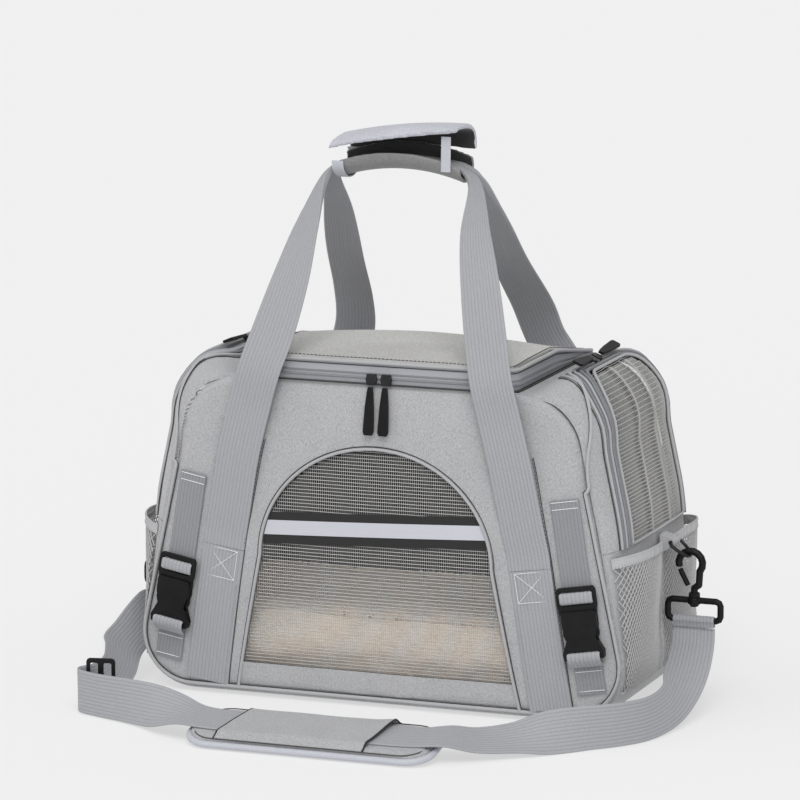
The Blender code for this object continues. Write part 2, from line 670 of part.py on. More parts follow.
def make_slider(name, centre, turn, out):
    """A slider and its pull. turn is the rotation that carries the slider from the lid's front to its place.

    In its own frame the zip runs along X, the slider faces -Y and the pull hangs down. out is how far
    the pull tips away from the surface, in degrees.
    """
    to_place = Matrix.Translation(centre) @ turn.to_4x4()

    def place_slider(x, z, h):
        return to_place @ Vector((x, -h, z))

    waist = both_sides([(0.0038, -0.0048), (0.0050, 0.0), (0.0038, 0.0048)])
    plate(name + "_slider", "black_metal", [waist], place_slider, 0.0, 0.0036, smooth_angle=60)
    hinge = Vector((0, -0.0044, -0.0072))
    swing = Matrix.Translation(hinge) @ Matrix.Rotation(math.radians(-out), 4, "X")

    def place_pull(x, z, h):
        return to_place @ swing @ Vector((x, -h, z))

    tab = both_sides([(0.0036, -0.0400), (0.0048, -0.0370), (0.0040, -0.0160), (0.0028, -0.0030), (0.0020, 0.0010)])
    plate(name + "_pull", "black_plastic", [tab], place_pull, -0.0008, 0.0016, smooth_angle=60)


SLIDER_OFFSET = 0.0066
DOOR_SLIDER_X = DOOR_TOP_X - 0.0075


def make_sliders():
    for side, word in ((1, "right"), (-1, "left")):
        centre = Vector((side * SLIDER_OFFSET + 0.0015, FRONT - 0.0005, LID_FOOT + 0.0040))
        make_slider(f"lid_{word}", centre, Matrix.Identity(3), 8)
    s = distance_at(lambda x, z: z > BAG_TOP / 2 and x <= DOOR_SLIDER_X)
    for side, word in ((1, "right"), (-1, "left")):
        for side_y, part in ((-1, "front"), (1, "rear")):
            foot, up = (on_gusset(side * s, side_y * SLIDER_OFFSET, h) for h in (0.0, 0.01))
            tilt = math.atan2(up.x - foot.x, up.z - foot.z)
            turn = Matrix.Rotation(tilt, 3, "Y") @ Matrix.Rotation(0 if side_y < 0 else math.pi, 3, "Z")
            turn = turn @ Matrix.Rotation(math.radians(-90), 3, "X")
            make_slider(f"{word}_door_{part}", foot.lerp(up, 0.37), turn, 3)


# ---------------------------------------------------------------- rings, hooks and shoulder strap

RING_WIRE = 0.0016
RING_BAR = Vector((0.2300, 0, 0.1420))
RING_TIP = Vector((0.2450, 0, 0.1298))
RING_HALF = 0.0125
HOOK_BAR = 0.0024
HOOK_AXIS_X = 0.2490
HOOK_FOOT_Z = 0.0985
BASE_RING_Z = 0.0830
BASE_RING_HALF = Vector((0.0235, 0, 0.0085))
SWIVEL = {1: 0.0, -1: math.radians(90)}  # how the base of each hook has turned under its bow


def mirror_x(points, side):
    return [Vector((side * p.x, p.y, p.z)) for p in points]


def make_ring_and_tab(side, word):
    """The D-ring at an end, and the webbing tab that holds it over the pocket's rim."""
    out = (RING_TIP - RING_BAR).normalized()
    reach = (RING_TIP - RING_BAR).length
    across = Vector((0, 1, 0))
    corner = 0.003
    bar = [RING_BAR - across * (RING_HALF - corner), RING_BAR + across * (RING_HALF - corner)]
    turns = [math.radians(a) for a in spread(0, 180, 9)]
    bow = [
        RING_BAR + out * (corner + (reach - corner) * math.sin(a)) + across * RING_HALF * math.cos(a) for a in turns
    ]
    tube(word + "_ring", "black_metal", mirror_x([*bar, *bow], side), RING_WIRE, cyclic=True)

    eye = [(RING_BAR.x + x, RING_BAR.z + z) for x, z in arc((0, 0), RING_WIRE + 0.0004, 0, 315, 7)]
    wall_low, wall_high = 0.1310, 0.1475
    nose = [(RING_BAR.x + x, RING_BAR.z + z) for x, z in arc((0, 0), RING_WIRE + 0.0020, -70, 90, 5)]
    low, high = (on_gusset(distance_at(lambda x, z, t=t: z >= t), 0, 0.0028) for t in (wall_low, wall_high))
    loop = [(low.x, low.z), *nose, (high.x, high.z)]
    plate(word + "_ring_tab", "webbing", [loop, eye], lambda x, z, h: Vector((side * x, h, z)), -0.0085, 0.0085)


def make_hook(side, word):
    """A swivel snap hook in the XZ plane: body with its post, spring gate, and the ring that holds the strap."""
    bow_centre = (RING_TIP.x + 0.0005, RING_TIP.z - 0.0062)
    bow = 0.0106
    path = [(HOOK_AXIS_X, HOOK_FOOT_Z - 0.0010), (HOOK_AXIS_X, HOOK_FOOT_Z + 0.0035)]
    path += [(HOOK_AXIS_X + 0.0040, HOOK_FOOT_Z + 0.0065), *arc(bow_centre, bow, -40, 195, 10)]
    body = tube(word + "_hook", "black_plastic", mirror_x([Vector((x, 0, z)) for x, z in path], side), HOOK_BAR)
    flange_z, neck_top = 0.0868, 0.0937
    profile = [  # radius and z of the post, from the flange that holds the collar up to the bow
        (0.0030, flange_z),
        (0.0030, flange_z + 0.0012),
        (0.0019, flange_z + 0.0016),
        (0.0019, neck_top),
        (0.0042, neck_top + 0.0006),
        (0.0042, HOOK_FOOT_Z - 0.0010),
    ]
    post_mesh = bmesh.new()
    steps = 10
    turns = [2 * math.pi * i / steps for i in range(steps)]
    rings = [
        [post_mesh.verts.new((side * HOOK_AXIS_X + r * math.cos(a), r * math.sin(a), z)) for a in turns]
        for r, z in profile
    ]
    for near, far in zip(rings, rings[1:]):
        for i in range(steps):
            n = (i + 1) % steps
            post_mesh.faces.new((near[i], near[n], far[n], far[i]))
    post_mesh.faces.new(rings[0])
    post_mesh.faces.new(rings[-1])
    post = add(word + "_hook_post", mesh_from(post_mesh, "post"), "black_plastic")
    solid = bpy.data.meshes.new_from_object(body.evaluated_get(bpy.context.evaluated_depsgraph_get()))
    bpy.data.objects.remove(body)
    bm = bmesh.new()
    bm.from_mesh(solid)
    bmesh.ops.remove_doubles(bm, verts=bm.verts, dist=1e-6)
    body = add(word + "_hook", mesh_from(bm, word + "_hook"), "black_plastic")
    boolean(body, post, "UNION")

    tip = path[-1]
    low = Vector((HOOK_AXIS_X - 0.0060, 0, HOOK_FOOT_Z + 0.0062))
    high = Vector((tip[0] + 0.0012, 0, tip[1] - 0.0034))
    tube(word + "_hook_gate", "black_plastic", mirror_x([low, low.lerp(high, 0.5), high], side), 0.0015)

    turn = SWIVEL[side]
    corners = rounded_box(BASE_RING_HALF.x, BASE_RING_HALF.z, 0.004, 2)
    loop = [Vector((HOOK_AXIS_X + u * math.cos(turn), u * math.sin(turn), BASE_RING_Z + v)) for u, v in corners]
    wire = tube(word + "_wire", "black_plastic", mirror_x(loop, side), 0.0020, cyclic=True)
    wire_mesh = bpy.data.meshes.new_from_object(wire.evaluated_get(bpy.context.evaluated_depsgraph_get()))
    bpy.data.objects.remove(wire)
    bm = bmesh.new()
    bm.from_mesh(wire_mesh)
    base = add(word + "_hook_base", mesh_from(bm, word + "_hook_base"), "black_plastic")
    low_z, high_z = flange_z + 0.0021, neck_top - 0.0004
    collar = turned([(0.0023, low_z), (0.0048, low_z), (0.0048, high_z), (0.0023, high_z)], (side * HOOK_AXIS_X, 0))
    boolean(base, add(word + "_collar", mesh_from(collar, "collar"), "black_plastic"), "UNION")
    deep, high = low_z - 0.003, high_z + 0.003
    hole = turned([(0.0, deep), (0.0023, deep), (0.0023, high), (0.0, high)], (side * HOOK_AXIS_X, 0))
    bmesh.ops.remove_doubles(hole, verts=hole.verts, dist=1e-6)
    boolean(base, add(word + "_hole", mesh_from(hole, "hole"), "black_plastic"), "DIFFERENCE")


STRAP_ROUTE = [  # x, y, z and the direction across the webbing, from the right hook to the left one
    (0.2490, 0.0000, 0.0705, 1, 0, 0),
    (0.2490, -0.0010, 0.0640, 1, 0, 0),
    (0.2510, -0.0100, 0.0540, 1, 0, -0.05),
    (0.2540, -0.0330, 0.0400, 0.95, 0.1, -0.3),
    (0.2570, -0.0650, 0.0290, 0.7, 0.1, -0.7),
    (0.2590, -0.1000, 0.0225, 0.3, 0.05, -0.95),
    (0.2530, -0.1350, 0.0197, 0.05, 0, -1),
    (0.2370, -0.1630, 0.0195, 0, 0, -1),
    (0.2140, -0.1840, 0.0192, 0, -0.1, -1),
    (0.1880, -0.2010, 0.0170, 0, -0.5, -0.85),
    (0.1620, -0.2160, 0.0135, 0.1, -0.9, -0.45),
    (0.1380, -0.2350, 0.0140, 0.2, -0.95, -0.3),
    (0.1150, -0.2520, 0.0190, 0.1, -0.98, -0.21),
    (0.0850, -0.2600, 0.0182, 0, -0.978, -0.208),
    (0.0150, -0.2610, 0.0181, 0, -0.978, -0.208),
    (-0.0500, -0.2610, 0.0181, 0, -0.978, -0.208),
    (-0.0860, -0.2600, 0.0184, 0, -0.978, -0.208),
    (-0.1120, -0.2550, 0.0190, 0, -0.96, -0.25),
    (-0.1350, -0.2470, 0.0195, 0, -0.75, -0.6),
    (-0.1600, -0.2380, 0.0198, 0, -0.35, -0.92),
    (-0.1850, -0.2300, 0.0198, 0, -0.1, -1),
    (-0.2100, -0.2220, 0.0195, 0, 0, -1),
    (-0.2300, -0.2140, 0.0200, 0, 0, -1),
    (-0.2320, -0.2060, 0.0205, 0.05, 0, -1),
    (-0.2210, -0.1950, 0.0225, 0.2, 0.1, -1),
    (-0.2170, -0.1750, 0.0260, 0.4, 0.1, -1),
    (-0.2270, -0.1350, 0.0300, 0.7, 0.1, -0.75),
    (-0.2440, -0.0900, 0.0320, 0.8, 0.3, -0.5),
    (-0.2510, -0.0450, 0.0360, 0.7, 0.6, -0.3),
    (-0.2500, -0.0120, 0.0490, 0.3, 0.95, -0.1),
    (-0.2490, -0.0010, 0.0630, 0, 1, 0),
    (-0.2490, 0.0000, 0.0700, 0, 1, 0),
]


def make_shoulder_strap():
    keys = [(*row, WIDE_WEB - 0.0006, WEB) for row in STRAP_ROUTE]
    ribbon("shoulder_strap", "webbing", keys, steps=2)
    pad_y, pad_half, half_width = -0.2590, 0.108, 0.031
    outline = rounded_box(pad_half, half_width, 0.022, 4)

    tilt = math.radians(12)

    def on_floor(x, y, h):
        up = (y + half_width) * math.sin(tilt) + h * math.cos(tilt)
        return Vector((x + 0.003, pad_y + y * math.cos(tilt) - h * math.sin(tilt), up))

    plate("shoulder_pad", "melange_fabric", [outline], on_floor, 0.0004, 0.0100)
    bars = [rounded_box(0.0200, 0.0034, 0.001, 1, (0, v)) for v in (-0.0058, 0.0058)]
    frame = rounded_box(0.0240, 0.0125, 0.003, 2)
    upright = Euler((math.radians(90), math.radians(90), math.radians(12))).to_matrix().to_4x4()
    stand = Matrix.Translation((-0.2130, -0.2085, 0.0245)) @ upright
    plate("strap_adjuster", "black_plastic", [frame, *bars], lambda u, v, h: stand @ Vector((u, v, h)), -0.0012, 0.0012)


# ---------------------------------------------------------------- the whole bag


def main():
    for obj in list(bpy.data.objects):
        bpy.data.objects.remove(obj)
    make_shell()
    make_inside()
    make_front_trim()
    make_doors()
    make_lid()
    make_handles()
    make_grip()
    make_buckles()
    make_sliders()
    for side, word in ((1, "right"), (-1, "left")):
        make_ring_and_tab(side, word)
        make_hook(side, word)
    make_shoulder_strap()


main()
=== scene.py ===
"""The looks of the soft-sided pet carrier bag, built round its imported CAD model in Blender 4.5.

Everything is in metres in the CAD frame: the bag's front faces -Y, its long side runs along X, and the
origin is the centre of the base. The first part repeats the few formulas that shape the bag's walls, so
that cloth, seams, mesh yarns and stitches lie on them exactly.
"""

import json
import math

import bmesh
import bpy
import numpy as np
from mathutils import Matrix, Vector, noise


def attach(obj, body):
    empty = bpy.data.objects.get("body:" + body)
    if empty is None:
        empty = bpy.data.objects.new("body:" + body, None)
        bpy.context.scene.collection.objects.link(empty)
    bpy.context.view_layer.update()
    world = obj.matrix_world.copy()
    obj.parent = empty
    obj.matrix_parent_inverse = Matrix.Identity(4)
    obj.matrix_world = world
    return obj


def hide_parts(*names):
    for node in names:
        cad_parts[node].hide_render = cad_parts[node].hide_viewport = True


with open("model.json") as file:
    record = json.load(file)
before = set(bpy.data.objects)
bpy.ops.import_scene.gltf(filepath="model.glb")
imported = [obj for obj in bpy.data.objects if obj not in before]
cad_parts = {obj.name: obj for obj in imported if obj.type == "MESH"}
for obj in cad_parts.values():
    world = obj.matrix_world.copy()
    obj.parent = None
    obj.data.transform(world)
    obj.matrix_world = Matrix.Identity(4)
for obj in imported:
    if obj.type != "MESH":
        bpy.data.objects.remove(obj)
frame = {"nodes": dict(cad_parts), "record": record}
CAD = frame["nodes"]
BODY_OF = {node: body for body, nodes in frame["record"]["behaviour"]["bodies"].items() for node in nodes}
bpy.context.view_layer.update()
BAG = BODY_OF["front_panel"]
SIDES = ((1, "right"), (-1, "left"))

# ---------------------------------------------------------------- camera


def make_camera():
    """A long lens, a little above and to the right of the bag's front."""
    azimuth, elevation, distance = math.radians(20.5), math.radians(10.5), 4.53
    target = Vector((-0.0195, 0, 0.248))
    level = math.cos(elevation)
    back = Vector((math.sin(azimuth) * level, -math.cos(azimuth) * level, math.sin(elevation)))
    data = bpy.data.cameras.new("camera")
    data.lens, data.sensor_width = 235.2, 36
    data.clip_start, data.clip_end = 0.1, 100
    camera = bpy.data.objects.new("camera", data)
    bpy.context.scene.collection.objects.link(camera)
    camera.location = target + back * distance
    camera.rotation_euler = back.to_track_quat("Z", "Y").to_euler()
    bpy.context.scene.camera = camera


make_camera()

# ---------------------------------------------------------------- the bag's dimensions

HALF_DEPTH = 0.105
BELLY = 0.010
END_BULGE = 0.022
CREST = 0.006
BAG_TOP = 0.280
SEAM_LIFT = 0.006
BASE_CORNER_X = 0.229
TOP_CORNER_X = 0.170
BASE_RADIUS = 0.045
TOP_RADIUS = 0.055
CORNER_STEPS = 14
PANEL = 0.003
GAP = 0.0003
WEB = 0.0016
WIDE_WEB, WIDE_RIBS = 0.038, 12
NARROW_WEB, NARROW_RIBS = 0.025, 8
HOOK_X, HOOK_BAR_Z = 0.2490, 0.0830 - 0.0085
DOOR_FOOT_Z = 0.151
DOOR_TOP_X = 0.163
DOOR_HALF_WIDTH, DOOR_RADIUS = 0.076, 0.035
LID_HALF_LENGTH = 0.1215
LID_REAR = 0.099
LID_FOOT = 0.2813
LID_FRONT_HEIGHT, LID_REAR_HEIGHT = 0.0185, 0.0032
LID_DOME = 0.008
GRIP_Y, GRIP_Z = -0.030, 0.4695
STITCH_Z = 0.132
FRONT = -HALF_DEPTH
PANEL_HEIGHT = BAG_TOP - SEAM_LIFT
WINDOW_FOOT, WINDOW_CROWN = 0.031, 0.225
WINDOW_FOOT_HALF, WINDOW_SHOULDER_HALF, WINDOW_SHOULDER_Z = 0.123, 0.104, 0.128
TAPE_LOW, TAPE_HIGH, TAPE_CLIMB = 0.138, 0.1655, 0.045
POCKET_FOOT_Z, POCKET_RIM_Z = 0.030, 0.146
POCKET_HALF = 0.099
POCKET_DEPTH = 0.013
POCKET_WAIST = 0.0100


def spread(low, high, count):
    """count evenly spaced values from low to high."""
    return [low + (high - low) * i / (count - 1) for i in range(count)]


def steps_of(low, high, size):
    """Evenly spaced values from low to high, about size apart."""
    return spread(low, high, max(2, round(abs(high - low) / size) + 1))


def ramp(value, start, end):
    """0 before start, 1 after end, and smooth between them."""
    t = min(1.0, max(0.0, (value - start) / (end - start)))
    return t * t * (3 - 2 * t)


def arc(centre, radius, start, end, steps):
    """Points on an arc, with its angles in degrees."""
    return [
        (centre[0] + radius * math.cos(math.radians(a)), centre[1] + radius * math.sin(math.radians(a)))
        for a in spread(start, end, steps + 1)
    ]


def rounded_box(half_u, half_v, radius, steps=3, centre=(0, 0)):
    """A rectangle with round corners, counter-clockwise."""
    u, v = half_u - radius, half_v - radius
    points = []
    for side_u, side_v, start in ((1, -1, -90), (1, 1, 0), (-1, 1, 90), (-1, -1, 180)):
        corner = (centre[0] + side_u * u, centre[1] + side_v * v)
        points += arc(corner, radius, start, start + 90, steps)
    return points


def smoothed(keys, steps):
    """Points on a Catmull-Rom curve through the keys, each a tuple of numbers."""
    rows = [Vector(k) for k in keys]
    rows = [2 * rows[0] - rows[1], *rows, 2 * rows[-1] - rows[-2]]
    points = []
    for a, b, c, d in zip(rows, rows[1:], rows[2:], rows[3:]):
        for i in range(steps):
            t = i / steps
            points.append(
                0.5 * (2 * b + (c - a) * t + (2 * a - 5 * b + 4 * c - d) * t**2 + (3 * b - a - 3 * c + d) * t**3)
            )
    return [*points, rows[-2]]


# ---------------------------------------------------------------- the bag's walls


def bag_outline():
    """Corners of the outline in the XZ plane, counter-clockwise from the middle of the base."""
    slope = math.degrees(math.atan2(PANEL_HEIGHT, BASE_CORNER_X - TOP_CORNER_X))
    base_back = BASE_RADIUS / math.tan(math.radians(slope / 2))
    top_back = TOP_RADIUS / math.tan(math.radians(90 - slope / 2))
    foot = (BASE_CORNER_X - base_back, SEAM_LIFT + BASE_RADIUS)
    head = (TOP_CORNER_X - top_back, BAG_TOP - TOP_RADIUS)
    turn = 90 - slope
    right = arc(foot, BASE_RADIUS, -90, turn, CORNER_STEPS) + arc(head, TOP_RADIUS, turn, 90, CORNER_STEPS)
    return [(0, SEAM_LIFT), *right, (0, BAG_TOP), *[(-x, z) for x, z in reversed(right)]]


OUTLINE = bag_outline()


def measure(points):
    """Distance along the closed outline of each of its corners, and its whole length."""
    total, lengths = 0, []
    for a, b in zip(points, points[1:] + points[:1]):
        lengths.append(total)
        total += math.dist(a, b)
    return lengths, total


STATIONS, GIRTH = measure(OUTLINE)


def offset_outline(height):
    """The outline moved outwards, with its sides kept parallel."""
    moved = []
    count = len(OUTLINE)
    for i in range(count):
        before, here, after = (Vector(OUTLINE[(i + k) % count]) for k in (-1, 0, 1))
        first, second = (here - before).normalized(), (after - here).normalized()
        normal_a, normal_b = Vector((first.y, -first.x)), Vector((second.y, -second.x))
        middle = (normal_a + normal_b).normalized()
        moved.append(here + middle * height / middle.dot(normal_a))
    return moved


FLUSH, RAISED = offset_outline(0.0), offset_outline(1.0)


def bulge(x, z, y):
    """How far the gusset swells out: along the ends above the pockets, and a little under the base."""
    swell = END_BULGE * ramp(z, 0.040, 0.180) + CREST * ramp(z, 0.225, 0.255)
    end = swell * ramp(abs(x), 0.128, 0.162) * (1 - (y / HALF_DEPTH) ** 6)
    return end + SEAM_LIFT * ramp(0.06 - z, 0.0, 0.045) * (1 - (y / HALF_DEPTH) ** 16)


def on_gusset(s, y, height):
    """The point at distance s along the outline, at depth y, standing out by height."""
    s = s % GIRTH
    i = int(np.searchsorted(STATIONS, s + 1e-9)) - 1
    end = STATIONS[i + 1] if i + 1 < len(STATIONS) else GIRTH
    t = (s - STATIONS[i]) / (end - STATIONS[i])
    n = (i + 1) % len(OUTLINE)
    flush, raised = FLUSH[i].lerp(FLUSH[n], t), RAISED[i].lerp(RAISED[n], t)
    place = flush.lerp(raised, height + bulge(flush.x, flush.y, y))
    return Vector((place.x, y, place.y))


def distance_at(test):
    """Distance along the right half of the outline where test(x, z) first turns true."""
    steps = 4000
    for i in range(steps):
        s = GIRTH / 2 * i / steps
        place = on_gusset(s, 0, 0.0)
        if test(place.x, place.z):
            return s
    raise ValueError("the outline never gets there")


DOOR_FOOT = distance_at(lambda x, z: z >= DOOR_FOOT_Z)
DOOR_TOP = distance_at(lambda x, z: z > BAG_TOP / 2 and x <= DOOR_TOP_X)
SHOULDER_END = distance_at(lambda x, z: z > BAG_TOP / 2 and x <= LID_HALF_LENGTH + 0.0015)


def mirrored(side):
    """place(s, y, h) for the right end (side 1) or the left end (side -1)."""
    return lambda s, y, h: on_gusset(side * s, y, h)


def end_wall_x(z):
    """x of the right end's seams between their rounded corners."""
    return BASE_CORNER_X + (TOP_CORNER_X - BASE_CORNER_X) * (z - SEAM_LIFT) / PANEL_HEIGHT


def belly(x, z):
    """How far the front and rear panels stand out from their seams."""
    across = max(0.0, 1 - (x / (end_wall_x(z) - 0.006)) ** 2)
    up = max(0.0, 1 - ((z - BAG_TOP / 2) / (BAG_TOP / 2 - 0.006)) ** 2)
    return BELLY * across**0.7 * up**0.7


def on_front(x, z, height):
    """A point on the front face, standing out by height."""
    return Vector((x, FRONT - height - belly(x, z), z))


def on_rear(x, z, height):
    return Vector((x, -FRONT + height + belly(x, z), z))


# ---------------------------------------------------------------- materials


class Shader:
    """A small helper that adds nodes to one material and joins them."""

    def __init__(self, name, colour, roughness, metallic=0.0):
        self.material = bpy.data.materials.new(name)
        self.material.use_nodes = True
        self.nodes = self.material.node_tree.nodes
        self.links = self.material.node_tree.links
        self.surface = self.nodes["Principled BSDF"]
        self.surface.inputs["Base Color"].default_value = (*colour, 1)
        self.surface.inputs["Roughness"].default_value = roughness
        self.surface.inputs["Metallic"].default_value = metallic
        self.where = self.nodes.new("ShaderNodeTexCoord")

    def set(self, name, value):
        self.surface.inputs[name].default_value = value

    def join(self, source, target):
        self.links.new(source, target)

    def math(self, operation, a, b=0.0):
        node = self.nodes.new("ShaderNodeMath")
        node.operation = operation
        for socket, value in zip(node.inputs, (a, b)):
            if isinstance(value, (int, float)):
                socket.default_value = value
            else:
                self.join(value, socket)
        return node.outputs[0]

    def noise(self, scale, detail=2.0, stretch=(1, 1, 1), source="Object", roughness=0.5):
        """Fine noise; stretch draws it out along an axis."""
        mapping = self.nodes.new("ShaderNodeMapping")
        mapping.inputs["Scale"].default_value = stretch
        self.join(self.where.outputs[source], mapping.inputs["Vector"])
        node = self.nodes.new("ShaderNodeTexNoise")
        node.inputs["Scale"].default_value = scale
        node.inputs["Detail"].default_value = detail
        node.inputs["Roughness"].default_value = roughness
        self.join(mapping.outputs[0], node.inputs["Vector"])
        return node.outputs["Fac"]

    def wave(self, period, axis, source="Object", shift=0.0):
        """A smooth wave of the given period, from 0 to 1, along X, Y or Z. shift is in radians."""
        split = self.nodes.new("ShaderNodeSeparateXYZ")
        self.join(self.where.outputs[source], split.inputs[0])
        turned = self.math("MULTIPLY", split.outputs["XYZ".index(axis)], 2 * math.pi / period)
        turned = self.math("ADD", turned, shift)
        return self.half(self.math("SINE", turned))

    def half(self, value):
        return self.math("ADD", self.math("MULTIPLY", value, 0.5), 0.5)

    def ramp(self, factor, stops):
        """A colour ramp; stops are (place, (r, g, b))."""
        node = self.nodes.new("ShaderNodeValToRGB")
        elements = node.color_ramp.elements
        while len(elements) < len(stops):
            elements.new(0.5)
        for element, (place, colour) in zip(elements, stops):
            element.position = place
            element.color = (*colour, 1)
        self.join(factor, node.inputs[0])
        return node.outputs[0]

    def mix(self, factor, a, b, blend="MIX"):
        node = self.nodes.new("ShaderNodeMix")
        node.data_type = "RGBA"
        node.blend_type = blend
        for socket, value in zip((node.inputs[0], node.inputs[6], node.inputs[7]), (factor, a, b)):
            if isinstance(value, (int, float)):
                socket.default_value = value
            elif isinstance(value, tuple):
                socket.default_value = (*value, 1)
            else:
                self.join(value, socket)
        return node.outputs[2]

    def colour(self, value):
        self.join(value, self.surface.inputs["Base Color"])

    def bump(self, height, distance, strength=1.0):
        node = self.nodes.new("ShaderNodeBump")
        node.inputs["Strength"].default_value = strength
        node.inputs["Distance"].default_value = distance
        self.join(height, node.inputs["Height"])
        self.join(node.outputs[0], self.surface.inputs["Normal"])

    def facing_in(self, centre):
        """1 on faces that look towards the centre, 0 on the others."""
        offset = self.nodes.new("ShaderNodeVectorMath")
        offset.operation = "SUBTRACT"
        offset.inputs[1].default_value = centre
        self.join(self.where.outputs["Object"], offset.inputs[0])
        dot = self.nodes.new("ShaderNodeVectorMath")
        dot.operation = "DOT_PRODUCT"
        self.join(offset.outputs[0], dot.inputs[0])
        self.join(self.where.outputs["Normal"], dot.inputs[1])
        return self.math("LESS_THAN", dot.outputs["Value"], 0.0)


def grey(level, tint=0.0):
    """A neutral grey, a little bluer for a positive tint and warmer for a negative one."""
    return (level * (1 - tint * 0.2), level, level * (1 + tint))


def melange(name, level, tint=0.025, painted_dark_inside=None):
    """Heathered polyester canvas: pale and dark fibres in a fine plain weave. Faces that look towards a given centre
    are painted near black, which inside the grip's wrap and under its flap is painted shade.
    """
    s = Shader(name, grey(level, tint), 0.92)
    fibres = s.noise(3000, 3.0, (1, 1, 0.5))
    slubs = s.noise(1000, 2.0, (1.3, 1, 0.6))
    patches = s.noise(26, 2.0)
    shade = s.math("ADD", s.math("MULTIPLY", fibres, 0.5), s.math("MULTIPLY", slubs, 0.5))
    tones = [(0.30, grey(level * 0.60, tint)), (0.50, grey(level, tint)), (0.70, grey(level * 1.36, tint))]
    cloth = s.ramp(shade, tones)
    cloth = s.mix(0.35, cloth, s.ramp(patches, [(0.3, grey(0.84)), (0.7, grey(1.0))]), "MULTIPLY")
    if painted_dark_inside:
        # faces looking inwards painted near black: painted shade inside the grip's wrap and under its flap
        cloth = s.mix(s.facing_in(painted_dark_inside), cloth, grey(0.03))
    s.colour(cloth)
    s.bump(s.math("ADD", fibres, s.math("MULTIPLY", slubs, 0.7)), 0.0004, 0.55)
    s.set("Sheen Weight", 0.25)
    return s.material


def webbing(name, level, tint=0.06):
    """Polyester webbing. U counts its ribs from one edge and V runs along it in metres."""
    s = Shader(name, grey(level, tint), 0.78)
    picks = s.wave(0.0011, "Y", "UV")
    ends = s.wave(0.25, "X", "UV")
    groove = s.wave(1.0, "X", "UV", math.pi / 2)
    specks = s.noise(1900, 2.0)
    weave = s.math("MULTIPLY", picks, ends)
    tone = s.math("ADD", s.math("MULTIPLY", weave, 0.30), s.math("MULTIPLY", specks, 0.70))
    tones = [(0.22, grey(level * 0.76, tint)), (0.50, grey(level, tint)), (0.80, grey(level * 1.22, tint))]
    # painted shade: the colour darkens along the valleys between the ribs
    painted_valley_shade = s.ramp(groove, [(0.76, grey(1.0)), (0.99, grey(0.80))])
    s.colour(s.mix(1.0, s.ramp(tone, tones), painted_valley_shade, "MULTIPLY"))
    s.bump(s.math("ADD", weave, s.math("MULTIPLY", specks, 0.4)), 0.00022, 0.6)
    s.set("Sheen Weight", 0.15)
    return s.material


def plain_cloth(name, level, tint=0.0, period=0.0008, depth=0.0002, roughness=0.8):
    """Binding, elastic and tape: a tight plain weave."""
    s = Shader(name, grey(level, tint), roughness)
    weave = s.math("MULTIPLY", s.wave(period, "Z"), s.wave(period, "X"))
    specks = s.noise(1500, 2.0)
    tone = s.math("ADD", s.math("MULTIPLY", weave, 0.4), s.math("MULTIPLY", specks, 0.6))
    s.colour(s.ramp(tone, [(0.2, grey(level * 0.80, tint)), (0.7, grey(level * 1.15, tint))]))
    s.bump(tone, depth, 0.5)
    s.set("Sheen Weight", 0.1)
    return s.material


def yarn(name, level, tint=0.0):
    """Mesh yarn: slightly glossy polyester with small changes of tone."""
    s = Shader(name, grey(level, tint), 0.6)
    s.colour(s.ramp(s.noise(900, 2.0), [(0.3, grey(level * 0.82, tint)), (0.7, grey(level * 1.12, tint))]))
    s.bump(s.noise(4000, 1.0), 0.0001, 0.5)
    return s.material


def thread(name, level):
    s = Shader(name, grey(level), 0.55)
    s.bump(s.noise(6000, 1.0), 0.00005, 0.5)
    return s.material


def moulded(name, level, roughness=0.38):
    """Moulded plastic: a fine texture, slightly rougher and paler on worn edges."""
    s = Shader(name, grey(level), roughness)
    s.set("Specular IOR Level", 0.22)
    grain = s.noise(1400, 3.0)
    worn = s.noise(90, 3.0)
    s.colour(s.ramp(worn, [(0.35, grey(level * 0.8)), (0.75, grey(level * 1.7))]))
    rough = s.math("ADD", s.math("MULTIPLY", grain, 0.16), roughness - 0.08)
    s.join(rough, s.surface.inputs["Roughness"])
    s.bump(grain, 0.00006, 0.4)
    return s.material


def painted_metal(name, level):
    s = Shader(name, grey(level), 0.3)
    s.set("Specular IOR Level", 0.35)
    grain = s.noise(800, 3.0)
    s.join(s.math("ADD", s.math("MULTIPLY", grain, 0.18), 0.22), s.surface.inputs["Roughness"])
    s.colour(s.ramp(s.noise(120, 3.0), [(0.4, grey(level)), (0.8, grey(level * 2.2))]))
    s.bump(grain, 0.00004, 0.3)
    return s.material


def tape_material():
    """Glass-bead reflective tape: a fine silver grain."""
    s = Shader("silver_tape", (0.54, 0.55, 0.60), 0.42, 0.25)
    grain = s.noise(3200, 2.0)
    s.colour(s.ramp(grain, [(0.3, (0.50, 0.51, 0.56)), (0.7, (0.60, 0.61, 0.66))]))
    s.bump(grain, 0.00004, 0.4)
    return s.material


def plush_material():
    """Short beige fleece: clumps of pile, with painted shade that darkens the hollows."""
    s = Shader("plush", (0.90, 0.82, 0.74), 1.0)
    pile = s.noise(420, 5.0, roughness=0.7)
    clumps = s.noise(75, 3.0)
    tone = s.math("ADD", s.math("MULTIPLY", pile, 0.55), s.math("MULTIPLY", clumps, 0.45))
    # painted shade: the colour darkens where the pile's bump is low
    s.colour(s.ramp(tone, [(0.30, (0.68, 0.55, 0.44)), (0.48, (0.86, 0.74, 0.63)), (0.70, (0.95, 0.88, 0.79))]))
    s.bump(s.math("ADD", pile, clumps), 0.0014, 0.7)
    s.set("Sheen Weight", 0.6)
    return s.material


